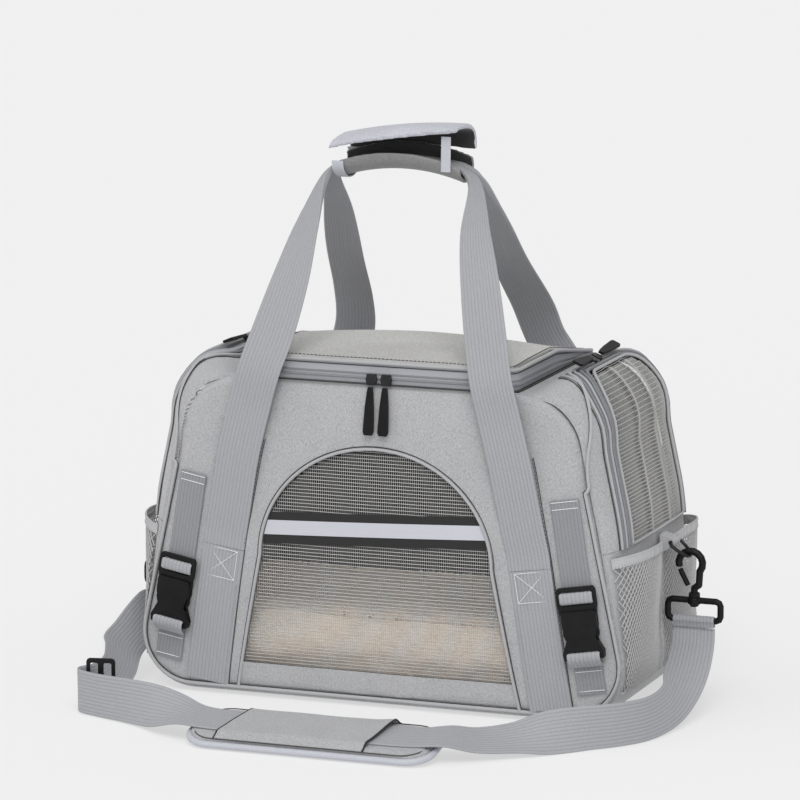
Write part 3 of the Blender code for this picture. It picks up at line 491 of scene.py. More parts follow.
BAG_CENTRE = (0, 0, 0.14)
GRIP_CENTRE = (-0.005, -0.030, 0.4715)
MATERIALS = {
    "cloth": melange("canvas", 0.40, painted_dark_inside=BAG_CENTRE),
    "cloth_soft": melange("canvas_pad", 0.38),
    "cloth_grip": melange("canvas_grip", 0.24, 0.0, painted_dark_inside=GRIP_CENTRE),
    "cloth_flap": melange("canvas_flap", 0.50, 0.10, painted_dark_inside=(-0.005, -0.030, 0.470)),
    "web": webbing("strap_webbing", 0.375),
    "web_narrow": webbing("strap_webbing_narrow", 0.28),
    "binding": plain_cloth("binding_tape", 0.42, 0.03),
    "binding_blue": plain_cloth("binding_satin", 0.50, 0.10, roughness=0.6),
    "elastic": plain_cloth("elastic_rim", 0.46, 0.02, 0.0011, 0.0003),
    "zip_tape": plain_cloth("zip_tape", 0.22, 0.06, 0.0007),
    "zip_light": plain_cloth("zip_tape_light", 0.39, 0.08, 0.0007),
    "zip_coil": yarn("zip_coil", 0.22, 0.06),
    "yarn": yarn("mesh_yarn", 0.46, -0.02),
    "yarn_lid": yarn("mesh_yarn_lid", 0.47, -0.03),
    "net": yarn("pocket_yarn", 0.44, 0.0),
    # dark seam lines with painted shadow in them, and the painted shadow beside each front handle's edge
    "dark": plain_cloth("dark_seam_and_shadow", 0.045, 0.0),
    # black tape, also used for painted shade at the ends of the shoulder pad's cover
    "black_tape_and_shade": plain_cloth("black_tape_and_slot_shade", 0.014, 0.0),
    "thread": thread("thread_white", 0.80),
    "thread_grey": thread("thread_grey", 0.42),
    "thread_dark": thread("thread_dark", 0.05),
    "plastic": moulded("moulded_black", 0.004, 0.45),
    "metal": painted_metal("black_coated_metal", 0.007),
    "silver": tape_material(),
    "plush": plush_material(),
    "board": plain_cloth("board_cover", 0.02),
}

# ---------------------------------------------------------------- making pieces


def mesh_object(name, bm, material, body, smooth_angle=45, stands_for=()):
    """Turns a bmesh into a named piece that rides on a body and takes the place of CAD nodes."""
    bmesh.ops.recalc_face_normals(bm, faces=bm.faces)
    mesh = bpy.data.meshes.new(name)
    bm.to_mesh(mesh)
    bm.free()
    mesh.materials.append(MATERIALS[material])
    mesh.shade_smooth()
    mesh.set_sharp_from_angle(angle=math.radians(smooth_angle))
    obj = new_object(name, mesh)
    finish_piece(obj, body, stands_for)
    return obj


def new_object(name, data):
    """An object with this data, linked to the scene."""
    obj = bpy.data.objects.new(name, data)
    bpy.context.scene.collection.objects.link(obj)
    return obj


def wear(obj, material):
    """Gives an object one material in place of any that it has."""
    obj.data.materials.clear()
    obj.data.materials.append(MATERIALS[material])


def finish_piece(obj, body, stands_for=()):
    """Puts a piece on its body, in place of the CAD nodes that it stands for."""
    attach(obj, body)
    if stands_for:
        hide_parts(*stands_for)


def two_layers(flat, place, low, high):
    """Closes a flat bmesh into a solid: place(u, v, h) puts each point at the heights low and high."""
    solid = bmesh.new()
    top = {v: solid.verts.new(place(v.co.x, v.co.y, high)) for v in flat.verts}
    foot = {v: solid.verts.new(place(v.co.x, v.co.y, low)) for v in flat.verts}
    for face in flat.faces:
        solid.faces.new([top[v] for v in face.verts])
        solid.faces.new([foot[v] for v in reversed(face.verts)])
    for edge in flat.edges:
        if len(edge.link_faces) == 1:
            a, b = edge.verts
            solid.faces.new([top[a], top[b], foot[b], foot[a]])
    flat.free()
    return solid


def sheet_bmesh(loops, place, low, high, breaks=(), bands=()):
    """A sheet with the given outline and holes, cut fine enough to bend at u = breaks and v = bands."""
    flat = bmesh.new()
    for loop in loops:
        verts = [flat.verts.new((u, v, 0)) for u, v in loop]
        for a, b in zip(verts, verts[1:] + verts[:1]):
            flat.edges.new((a, b))
    bmesh.ops.triangle_fill(flat, use_beauty=True, use_dissolve=False, edges=flat.edges[:])
    cuts = [((u, 0, 0), (1, 0, 0)) for u in breaks] + [((0, v, 0), (0, 1, 0)) for v in bands]
    for where, facing in cuts:
        parts = flat.verts[:] + flat.edges[:] + flat.faces[:]
        bmesh.ops.bisect_plane(flat, geom=parts, dist=1e-6, plane_co=where, plane_no=facing)
    return two_layers(flat, place, low, high)


def grid_bmesh(us, vs, place, low, high):
    flat = bmesh.new()
    rows = [[flat.verts.new((u, v, 0)) for v in vs] for u in us]
    for near, far in zip(rows, rows[1:]):
        for a, b, c, d in zip(near, far, far[1:], near[1:]):
            flat.faces.new((a, b, c, d))
    return two_layers(flat, place, low, high)


def frames_along(points, closed=False):
    """At each point: the direction along, and a side direction that doesn't twist."""
    count = len(points)
    found = []
    side = None
    for i, point in enumerate(points):
        if closed:
            along = points[(i + 1) % count] - points[i - 1]
        else:
            along = points[min(i + 1, count - 1)] - points[max(i - 1, 0)]
        along = along.normalized() if along.length > 1e-12 else Vector((1, 0, 0))
        if side is None:
            side = along.orthogonal().normalized()
        side = (side - along * side.dot(along)).normalized()
        found.append((along, side))
    return found


def add_tube(bm, points, radius, sides=4, closed=False):
    """Adds a bar along the points."""
    points = [Vector(p) for p in points]
    rings = []
    for point, (along, side) in zip(points, frames_along(points, closed)):
        up = along.cross(side)
        ring = []
        for k in range(sides):
            a = 2 * math.pi * (k + 0.5) / sides
            ring.append(bm.verts.new(point + (side * math.cos(a) + up * math.sin(a)) * radius))
        rings.append(ring)
    pairs = list(zip(rings, rings[1:])) + ([(rings[-1], rings[0])] if closed else [])
    for near, far in pairs:
        for k in range(sides):
            n = (k + 1) % sides
            bm.faces.new((near[k], near[n], far[n], far[k]))
    if not closed:
        bm.faces.new(rings[0][::-1])
        bm.faces.new(rings[-1])


def tube_piece(name, points, radius, material, body, sides=8, closed=False, stands_for=()):
    bm = bmesh.new()
    add_tube(bm, points, radius, sides, closed)
    return mesh_object(name, bm, material, body, 60, stands_for)


def resampled(points, size, closed=False):
    """The same line with points about size apart."""
    points = [Vector(p) for p in points]
    if closed:
        points = [*points, points[0]]
    lengths = [0.0]
    for a, b in zip(points, points[1:]):
        lengths.append(lengths[-1] + (b - a).length)
    count = max(2, round(lengths[-1] / size) + 1)
    made = []
    k = 0
    for target in spread(0, lengths[-1], count):
        while k < len(points) - 2 and lengths[k + 1] < target:
            k += 1
        span = lengths[k + 1] - lengths[k]
        made.append(points[k].lerp(points[k + 1], (target - lengths[k]) / span if span else 0))
    return made[:-1] if closed else made


def stitches(bm, points, normal, pitch=0.0030, length=0.0023, radius=0.00032, lift=0.0002):
    """A row of short stitches along the points. normal is the way out, or a function of the place."""
    line = resampled(points, pitch)
    for a, b in zip(line, line[1:]):
        along = (b - a).normalized()
        out = normal((a + b) / 2) if callable(normal) else Vector(normal)
        middle = (a + b) / 2 + out * lift
        half = along * length / 2
        dip = out * (radius * 1.2)
        add_tube(bm, [middle - half - dip, middle - half * 0.5, middle + half * 0.5, middle + half - dip], radius, 5)


def out_of_front(place):
    """The way out of the front face at a place."""
    step = 0.004
    slope_x = (belly(place.x + step, place.z) - belly(place.x - step, place.z)) / (2 * step)
    slope_z = (belly(place.x, place.z + step) - belly(place.x, place.z - step)) / (2 * step)
    return Vector((-slope_x, -1, -slope_z)).normalized()


def out_of_rear(place):
    n = out_of_front(Vector((place.x, 0, place.z)))
    return Vector((n.x, -n.y, n.z))


# ---------------------------------------------------------------- webbing


def ribbon_rows(keys, size=0.004):
    """Cross-sections along a strap from its keys: x, y, z, the direction across, width and thickness."""
    reach = sum((Vector(a[:3]) - Vector(b[:3])).length for a, b in zip(keys, keys[1:]))
    steps = max(2, round(reach / size / (len(keys) - 1)))
    return smoothed(keys, steps)


def webbing_bmesh(rows, ribs, rib_depth=0.00035):
    """A woven strap: its ribs run lengthwise on both faces, except where it is gathered up thick."""
    places = [Vector(r[:3]) for r in rows]
    per_rib, gathered = 4, 0.003
    count = ribs * per_rib + 1
    bm = bmesh.new()
    layer = bm.loops.layers.uv.new("UVMap")
    rings, lengths = [], []
    total = 0.0
    for i, row in enumerate(rows):
        along = (places[min(i + 1, len(rows) - 1)] - places[max(i - 1, 0)]).normalized()
        across = Vector(row[3:6])
        across = (across - along * across.dot(along)).normalized()
        face = along.cross(across)
        width, thick = row[6], row[7]
        total += (places[i] - places[i - 1]).length if i else 0.0
        lengths.append(total)
        upper, lower = [], []
        for k in range(count):
            share = k / (count - 1)
            edge = min(share, 1 - share) * (count - 1)
            rib = rib_depth * (0.5 - 0.5 * math.cos(2 * math.pi * share * ribs)) if thick < gathered else 0
            half = thick / 2 - rib_depth / 2 + rib
            half *= min(1.0, 0.45 + 0.3 * edge)
            base = places[i] + across * (width * (share - 0.5))
            upper.append(bm.verts.new(base + face * half))
            lower.append(bm.verts.new(base - face * half))
        rings.append(upper + lower[::-1])
    size = len(rings[0])
    for i, (near, far) in enumerate(zip(rings, rings[1:])):
        for k in range(size):
            n = (k + 1) % size
            made = bm.faces.new((near[k], near[n], far[n], far[k]))
            us = [min(j, size - 1 - j) / per_rib for j in (k, n)]
            for loop, (u, v) in zip(made.loops, ((us[0], i), (us[1], i), (us[1], i + 1), (us[0], i + 1))):
                loop[layer].uv = (u, lengths[v])
    for ring in (rings[0][::-1], rings[-1]):
        bm.faces.new(ring)
    return bm


# ---------------------------------------------------------------- shoulder strap, the bag's one free cord

STRAP_ROUTE = [  # x, y, z and the direction across the webbing, from the right hook to the left one
    (0.2490, 0.0000, 0.0680, 1, 0, 0),
    (0.2490, -0.0010, 0.0640, 1, 0, 0),
    (0.2510, -0.0100, 0.0540, 1, 0, -0.05),
    (0.2540, -0.0330, 0.0400, 0.95, 0.1, -0.3),
    (0.2570, -0.0650, 0.0290, 0.7, 0.1, -0.7),
    (0.2590, -0.1000, 0.0225, 0.3, 0.05, -0.95),
    (0.2530, -0.1350, 0.0197, 0.05, 0, -1),
    (0.2370, -0.1630, 0.0195, 0, 0, -1),
    (0.2140, -0.1840, 0.0192, 0, -0.1, -1),
    (0.1880, -0.2010, 0.0170, 0, -0.5, -0.85),
    (0.1620, -0.2160, 0.0135, 0.1, -0.9, -0.45),
    (0.1380, -0.2350, 0.0140, 0.2, -0.95, -0.3),
    (0.1150, -0.2520, 0.0190, 0.1, -0.98, -0.21),
    (0.0850, -0.2600, 0.0182, 0, -0.978, -0.208),
    (0.0150, -0.2610, 0.0181, 0, -0.978, -0.208),
    (-0.0500, -0.2610, 0.0181, 0, -0.978, -0.208),
    (-0.0860, -0.2600, 0.0184, 0, -0.978, -0.208),
    (-0.1120, -0.2550, 0.0190, 0, -0.96, -0.25),
    (-0.1350, -0.2470, 0.0195, 0, -0.75, -0.6),
    (-0.1600, -0.2380, 0.0198, 0, -0.35, -0.92),
    (-0.1850, -0.2300, 0.0198, 0, -0.1, -1),
    (-0.2100, -0.2220, 0.0195, 0, 0, -1),
    (-0.2300, -0.2140, 0.0200, 0, 0, -1),
    (-0.2320, -0.2060, 0.0205, 0.05, 0, -1),
    (-0.2210, -0.1950, 0.0225, 0.2, 0.1, -1),
    (-0.2170, -0.1750, 0.0260, 0.4, 0.1, -1),
    (-0.2270, -0.1350, 0.0300, 0.7, 0.1, -0.75),
    (-0.2440, -0.0900, 0.0320, 0.8, 0.3, -0.5),
    (-0.2510, -0.0450, 0.0360, 0.7, 0.6, -0.3),
    (-0.2500, -0.0120, 0.0490, 0.3, 0.95, -0.1),
    (-0.2490, -0.0010, 0.0630, 0, 1, 0),
    (-0.2490, 0.0000, 0.0700, 0, 1, 0),
]


def make_shoulder_strap():
    rows = ribbon_rows([(*row, WIDE_WEB - 0.0006, WEB) for row in STRAP_ROUTE])
    path = [Vector(r[:3]) for r in rows]
    length = sum((b - a).length for a, b in zip(path, path[1:]))
    bm = webbing_bmesh(rows, WIDE_RIBS)
    node = "shoulder_strap"
    strap = mesh_object("shoulder_webbing", bm, "web", BODY_OF[node], 50, [node])
    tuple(STRAP_ROUTE[0][:3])
    [tuple(p) for p in path]


def make_strap_end(word, bar, across, out):
    """The strap's end, folded over the bar of the hook's base and sewn back on itself."""
    radius, drop, pinch = 0.0031, Vector((0, 0, -0.004)), out * 0.0008
    turns = np.linspace(math.radians(-40), math.radians(220), 14)
    fold = [bar + out * (radius * math.cos(a)) + Vector((0, 0, radius * math.sin(a))) for a in turns]
    line = [fold[0] + drop - pinch, *fold, fold[-1] + drop + pinch]
    bm = webbing_bmesh(smoothed([(*p, *across, WIDE_WEB - 0.0016, 0.0014) for p in line], 2), WIDE_RIBS, 0.0002)
    mesh_object(f"{word}_strap_end", bm, "web", BODY_OF[f"{word}_hook_base"], 50)


make_shoulder_strap()
make_strap_end("right", Vector((HOOK_X, 0, HOOK_BAR_Z)), (1, 0, 0), Vector((0, -1, 0)))
make_strap_end("left", Vector((-HOOK_X, 0, HOOK_BAR_Z)), (0, 1, 0), Vector((-1, 0, 0)))

# ---------------------------------------------------------------- shell


def window_outline(grow=0.0, foot=WINDOW_FOOT, foot_half=WINDOW_FOOT_HALF, steps=36):
    """The arch of the front window, grown outwards by grow."""
    half, rise = WINDOW_SHOULDER_HALF + grow, WINDOW_CROWN - WINDOW_SHOULDER_Z + grow
    crown = [
        (half * math.cos(math.pi * i / steps), WINDOW_SHOULDER_Z + rise * math.sin(math.pi * i / steps))
        for i in range(steps + 1)
    ]
    return [(foot_half + grow, foot - grow), *crown, (-foot_half - grow, foot - grow)]


def wrinkle(x, z, seed=0.0):
    """Soft dents and puckers in the padded panels, a millimetre or so deep."""
    wide = noise.noise(Vector((x * 14 + seed, z * 14, seed)))
    near = noise.noise(Vector((x * 45, z * 30 + seed, 3.7 + seed)))
    return 0.0011 * wide + 0.00035 * near


def edge_distance(x, z):
    """How far a point of a panel lies inside its outline, whose leaning ends meet the top and base in arcs."""
    slope = (BASE_CORNER_X - TOP_CORNER_X) / PANEL_HEIGHT
    lean = slope / math.hypot(1, slope)
    end = (end_wall_x(z) - abs(x)) / math.hypot(1, slope)
    top, base = BAG_TOP - z, z - SEAM_LIFT
    for radius, level, turn in ((TOP_RADIUS, top, lean), (BASE_RADIUS, base, -lean)):
        a, b = radius - level, radius - end
        if a > b * turn and b > a * turn:
            return radius - math.sqrt((a * a + b * b - 2 * a * b * turn) / (1 - turn * turn))
    return min(end, top, base)


def make_panel(name, node, wall, loops, seed):
    """One face of the bag: crumpled a little, with its edge rolled back to the seam."""
    roll, crest = 0.0065, 0.0004

    def place(x, z, h):
        inside = max(0.0, edge_distance(x, z))
        turn = roll - math.sqrt(max(0.0, roll**2 - max(0.0, roll - inside) ** 2))
        settle = ramp(inside, 0.004, 0.03)
        return wall(x, z, h - turn * 0.8 + min(crest, wrinkle(x, z, seed)) * settle)

    breaks = steps_of(-0.24, 0.24, 0.006)
    bands = steps_of(0.0, 0.285, 0.006)
    fringe = [BAG_TOP - d for d in (0.0008, 0.002, 0.004)]
    bm = sheet_bmesh(loops, place, -PANEL, 0.0, breaks, [*bands, *fringe])
    mesh_object(name, bm, "cloth", BAG, 50, [node])


def make_shell():
    outline = [tuple(p) for p in offset_outline(0.0)]
    make_panel("front_canvas", "front_panel", on_front, [outline, window_outline()], 0.0)
    make_panel("rear_canvas", "rear_panel", on_rear, [outline], 5.0)

    edge = HALF_DEPTH - PANEL - GAP
    depths = sorted({*steps_of(-edge, edge, 0.008), -0.101, -0.099, -0.096, 0.096, 0.099, 0.101})

    def soft(side):
        """The gusset with dents that only go inwards, and none near its foot, which other pieces meet."""

        def place(s, y, h):
            spot = on_gusset(side * s, y, h)
            if spot.z < 0.02:
                return spot
            dent = min(-0.0004, wrinkle(s * 1.3, y, 9.0 + side)) * ramp(edge - abs(y), 0.0, 0.02)
            return on_gusset(side * s, y, h + dent)

        return place

    loop = [(-DOOR_FOOT, -edge), (DOOR_FOOT, -edge), (DOOR_FOOT, edge), (-DOOR_FOOT, edge)]
    creases = [s for s in STATIONS if 0 < s < DOOR_FOOT]
    extra = steps_of(creases[-1], DOOR_FOOT, 0.008)
    breaks = [0.0, *creases, *[-s for s in creases], *extra, *[-s for s in extra]]
    bm = sheet_bmesh([loop], soft(1), -PANEL, 0.0, breaks, depths)
    mesh_object("base_canvas", bm, "cloth", BAG, 50, ["bottom_gusset"])

    inner, radius = DOOR_HALF_WIDTH, DOOR_RADIUS
    crown, foot = DOOR_TOP + GAP, DOOR_FOOT + GAP
    arch = arc((crown - radius, inner - radius), radius, 90, 0, 12)
    arch += arc((crown - radius, radius - inner), radius, 0, -90, 12)
    frame_loop = [(foot, -edge), (SHOULDER_END, -edge), (SHOULDER_END, edge), (foot, edge), (foot, inner)]
    frame_loop += [*arch, (foot, -inner)]
    breaks = [s for s in STATIONS if foot < s < SHOULDER_END] + steps_of(foot, SHOULDER_END, 0.008)[1:-1]
    for side, word in SIDES:
        bm = sheet_bmesh([frame_loop], soft(side), -PANEL, 0.0, breaks, depths)
        mesh_object(f"{word}_end_canvas", bm, "cloth", BAG, 50, [f"{word}_end_frame"])


make_shell()


def make_piping():
    """The seams: a rolled binding with a dark line of thread and shadow beside it.

    The body's seam leaves the front face at leave_z, rounds the corner and crosses the shoulder at over_x.
    """
    leave_z, over_x = 0.205, 0.152
    turn = distance_at(lambda x, z: z >= leave_z + 0.003)
    over = distance_at(lambda x, z: z > BAG_TOP / 2 and x <= over_x)

    def seam(inset, height):
        edge = offset_outline(-0.0024 - inset)
        leg = []
        for a, b in zip(edge, edge[1 : len(edge) // 2]):
            leg += [a.lerp(b, t) for t in steps_of(0, 1, 0.006 / max(0.006, (b - a).length))[:-1]]
        leg = [on_front(p.x, p.y, height) for p in leg[1:] if p.y < leave_z]
        corner = []
        for t in spread(0, 90, 18):
            s = turn + (over - turn) * math.sin(math.radians(t)) + inset
            corner.append(on_gusset(s, -0.050 - 0.0545 * math.cos(math.radians(t)), height + 0.0006))
        right = leg + corner + [on_gusset(over + inset, y, height + 0.0006) for y in spread(-0.05, 0, 6)]
        quarter = [Vector((-p.x, p.y, p.z)) for p in reversed(right)]
        front = quarter + right
        rear = [Vector((p.x, -p.y, p.z)) for p in reversed(front)]
        return front + rear[1:-1]

    line = resampled(seam(-0.0006, 0.0009), 0.004, True)
    tube_piece("body_binding", line, 0.0015, "binding", BAG, 10, True)
    line = resampled(seam(0.0014, 0.0003), 0.004, True)
    tube_piece("body_seam_line", line, 0.00045, "dark", BAG, 6, True, ["body_piping"])
    for name, grow, radius, height, material in (
        ("window_binding", 0.0012, 0.0014, 0.0010, "binding"),
        ("window_seam_line", 0.0033, 0.00045, 0.0003, "dark"),
    ):
        arch = window_outline(grow=grow, foot=0.0100, foot_half=0.1272)
        foot_r, foot_l = arch[0], arch[-1]
        first = [Vector(foot_r).lerp(Vector(arch[1]), t) for t in spread(0, 1, 12)]
        last = [Vector(arch[-2]).lerp(Vector(foot_l), t) for t in spread(0, 1, 12)]
        line = [on_front(p[0], p[1], height) for p in (*first, *arch[2:-2], *last)]
        stands_for = ["window_piping"] if "line" in name else []
        slot = "dark_piping" if "line" in name else "melange_fabric"
        tube_piece(name, resampled(line, 0.003), radius, material, BAG, 8, False, stands_for)


make_piping()

# ---------------------------------------------------------------- window mesh


def yarns(bm, inside, place, us, vs, along_step, radius_u, radius_v):
    """Woven yarns: one along v at each u, and one along u at each v, where inside(u, v) is true."""
    rise = 0.0002
    for fixed, ends, radius, flip, height in ((us, vs, radius_u, False, -rise), (vs, us, radius_v, True, rise)):
        for value in fixed:
            run = []
            for t in (*steps_of(min(ends), max(ends), along_step), None):
                u, v = (t, value) if flip else (value, t)
                if t is not None and inside(u, v):
                    run.append(place(u, v, height))
                    continue
                if len(run) > 1:
                    add_tube(bm, run, radius)
                run = []


def in_window(x, z, margin=0.0):
    if z < WINDOW_FOOT - margin:
        return False
    if z <= WINDOW_SHOULDER_Z:
        t = (z - WINDOW_FOOT) / (WINDOW_SHOULDER_Z - WINDOW_FOOT)
        return abs(x) < WINDOW_FOOT_HALF + (WINDOW_SHOULDER_HALF - WINDOW_FOOT_HALF) * t + margin
    rise = WINDOW_CROWN - WINDOW_SHOULDER_Z + margin
    return (x / (WINDOW_SHOULDER_HALF + margin)) ** 2 + ((z - WINDOW_SHOULDER_Z) / rise) ** 2 < 1


def make_window():
    def place(x, z, h):
        return on_front(x, z, h - 0.0021 + 0.0006 * noise.noise(Vector((x * 30, z * 22, 1.3))))

    bm = bmesh.new()
    columns = steps_of(-0.126, 0.126, 0.0019)
    rows = steps_of(WINDOW_FOOT - 0.001, WINDOW_CROWN + 0.001, 0.0030)
    yarns(bm, lambda x, z: in_window(x, z, 0.001), place, columns, rows, 0.0045, 0.00020, 0.00034)
    mesh_object("window_net", bm, "yarn", BAG, 60, ["window_mesh"])

    rise = WINDOW_CROWN - WINDOW_SHOULDER_Z

    def edge_at(z, side):
        """The window's edge where the strip's line through z meets it; the strip climbs to the right."""
        x = side * WINDOW_SHOULDER_HALF
        for _ in range(3):
            level = z + TAPE_CLIMB * (x + 0.10)
            half = WINDOW_SHOULDER_HALF * math.sqrt(1 - ((level - WINDOW_SHOULDER_Z) / rise) ** 2) - 0.0008
            x = side * half
        return x, level

    def band(name, low, high, layer, material, slot, stands_for=()):
        levels = spread(low, high, 5)
        loop = [edge_at(z, 1) for z in levels] + [edge_at(z, -1) for z in reversed(levels)]
        columns = steps_of(-0.11, 0.11, 0.01)
        bm = sheet_bmesh([loop], on_front, layer, layer + 0.0003, columns, [(low + high) / 2])
        mesh_object(name, bm, material, BAG, 50, stands_for)

    band("strip_backing", TAPE_LOW, TAPE_HIGH, -0.0008, "black_tape_and_shade", "dark_piping")
    low, high = TAPE_LOW + 0.0078, TAPE_HIGH - 0.0072
    band("strip_silver", low, high, -0.0004, "silver", "reflective_tape", ["reflective_strip"])


make_window()

# ---------------------------------------------------------------- fleece mat and base board


def make_mat():
    """The fleece mat: its CAD solid, remeshed, puffed by a cloth simulation and roughened like pile."""
    mat = new_object("fleece_pad", CAD["fleece_mat"].data.copy())
    soften(mat, voxel=0.006, pressure=2.5, cap=0.004, shrink=0.003)
    for v in mat.data.vertices:
        lumps = noise.noise(v.co * 38) * 0.0022 + noise.noise(v.co * 120) * 0.0009
        v.co += v.normal * (lumps - 0.001)
    finish_piece(mat, BODY_OF["fleece_mat"], ["fleece_mat"])
    wear(mat, "plush")


def soften(obj, voxel, pressure, cap, shrink):
    """Remeshes a closed piece, swells it with a short cloth simulation and caps how far it moves."""
    scene, last_frame = bpy.context.scene, 16
    bm = bmesh.new()
    bm.from_mesh(obj.data)
    bmesh.ops.remove_doubles(bm, verts=bm.verts, dist=1e-5)
    bmesh.ops.recalc_face_normals(bm, faces=bm.faces)
    bm.to_mesh(obj.data)
    bm.free()
    remesh = obj.modifiers.new("remesh", "REMESH")
    remesh.mode = "VOXEL"
    remesh.voxel_size = voxel
    bake(obj)
    for v in obj.data.vertices:
        v.co -= v.normal * shrink
    rest = [v.co.copy() for v in obj.data.vertices]
    cloth = obj.modifiers.new("cloth", "CLOTH")
    settings = cloth.settings
    settings.quality = 5
    settings.mass = 0.15
    settings.tension_stiffness = settings.compression_stiffness = 12
    settings.bending_stiffness = 0.6
    settings.use_pressure = True
    settings.uniform_pressure_force = pressure
    settings.effector_weights.gravity = 0
    cloth.collision_settings.use_collision = False
    cloth.point_cache.frame_start, cloth.point_cache.frame_end = 1, last_frame
    for step in range(1, last_frame + 1):
        scene.frame_set(step)
    bake(obj)
    scene.frame_set(1)
    for v, start in zip(obj.data.vertices, rest):
        move = v.co - start
        if move.length > cap:
            v.co = start + move.normalized() * cap
    smooth = obj.modifiers.new("smooth", "SUBSURF")
    smooth.levels = smooth.render_levels = 1
    bake(obj)
    obj.data.shade_smooth()


def bake(obj):
    """Replaces the object's mesh by what its modifiers make of it."""
    bpy.context.view_layer.update()
    evaluated = obj.evaluated_get(bpy.context.evaluated_depsgraph_get())
    mesh = bpy.data.meshes.new_from_object(evaluated)
    obj.modifiers.clear()
    old, obj.data = obj.data, mesh
    mesh.name = obj.name
    if not old.users:
        bpy.data.meshes.remove(old)


make_mat()
wear(CAD["base_board"], "board")

# ---------------------------------------------------------------- end doors and pockets


def door_edge(inset, foot_inset, steps=12):
    """The door's U-shaped edge, moved inwards by inset, from its front foot over the top to the rear."""
    inner, radius = DOOR_HALF_WIDTH - 2 * GAP - inset, DOOR_RADIUS - inset * 0.5
    crown = DOOR_TOP - GAP - inset
    foot = DOOR_FOOT + 0.0010 + foot_inset
    arch = arc((crown - radius, inner - radius), radius, 0, 90, steps)
    front = [(s, -inner) for s in steps_of(foot, crown - radius, 0.008)]
    over = [(s, -y) for s, y in reversed(arch)]
    top = [(crown, y) for y in steps_of(radius - inner, inner - radius, 0.008)][1:-1]
    rear = [(s, inner) for s in reversed(steps_of(foot, crown - radius, 0.008))]
    return front[:-1] + over + top + arch + rear[1:]


def in_door(s, y, inset):
    inner, radius = DOOR_HALF_WIDTH - inset, DOOR_RADIUS - inset * 0.5
    crown = DOOR_TOP - inset
    if s < DOOR_FOOT + 0.001 or s > crown or abs(y) > inner:
        return False
    du, dv = s - (crown - radius), abs(y) - (inner - radius)
    return not (du > 0 and dv > 0 and math.hypot(du, dv) > radius)


def make_door(side, word):
    body = BODY_OF[word + "_door"]
    place = mirrored(side)

    def pleated(s, y, h):
        """The door mesh sags between its seams, with two soft lengthwise folds."""
        folds = 0.0016 * math.exp(-(((y + 0.020 - 0.05 * (s - DOOR_FOOT)) / 0.006) ** 2))
        folds += 0.0014 * math.exp(-(((y - 0.028) / 0.007) ** 2))
        return place(s, y, h - 0.0016 + folds)

    bm = bmesh.new()
    ys = steps_of(-DOOR_HALF_WIDTH, DOOR_HALF_WIDTH, 0.0021)
    ss = steps_of(DOOR_FOOT + 0.002, DOOR_TOP - 0.003, 0.0031)
    yarns(bm, lambda s, y: in_door(s, y, 0.004), pleated, ss, ys, 0.0045, 0.00042, 0.00024)
    mesh_object(f"{word}_door_net", bm, "yarn", body, 60, [word + "_door"])

    for name, inset, radius, height, material in (
        ("binding", 0.0045, 0.0014, 0.0012, "binding"),
        ("tape", 0.0012, 0.0016, 0.0002, "zip_tape"),
    ):
        line = resampled([place(s, y, height) for s, y in door_edge(inset, 0.001)], 0.004)
        tube_piece(f"{word}_door_{name}", line, radius, material, body, 8)
    foot = [place(DOOR_FOOT + 0.0012, y, 0.0004) for y in steps_of(-0.073, 0.073, 0.004)]
    tube_piece(f"{word}_door_foot", foot, 0.0012, "binding", body, 8)

    bands = (  # the zip round the door, on the bag's side: distance outside the door's edge, radius, height
        ("coil", -0.0022, 0.0011, 0.0016, "zip_coil"),
        ("tape_light", -0.0048, 0.0013, 0.0010, "zip_light"),
        ("tape_dark", -0.0078, 0.0013, 0.0006, "zip_tape"),
        ("cover", -0.0108, 0.0014, 0.0008, "binding"),
        ("line", -0.0128, 0.0005, 0.0002, "dark"),
    )
    for name, inset, radius, height, material in bands:
        line = [place(s, y, height) for s, y in door_edge(inset, -0.001)]
        tube_piece(f"{word}_zip_{name}", resampled(line, 0.004), radius, material, BAG, 8)


def pocket_height(s, y, foot, rim):
    """How far the pocket stands off the end wall: two pouches side by side, pulled in at the middle."""
    pouch = math.sin(math.pi * max(0.0, abs(y) - POCKET_WAIST) / (POCKET_HALF - POCKET_WAIST))
    rise = math.sin(math.pi / 2 * (s - foot) / (rim - foot))
    return POCKET_DEPTH * (0.15 + 0.85 * rise) * max(0.0, pouch) ** 0.6


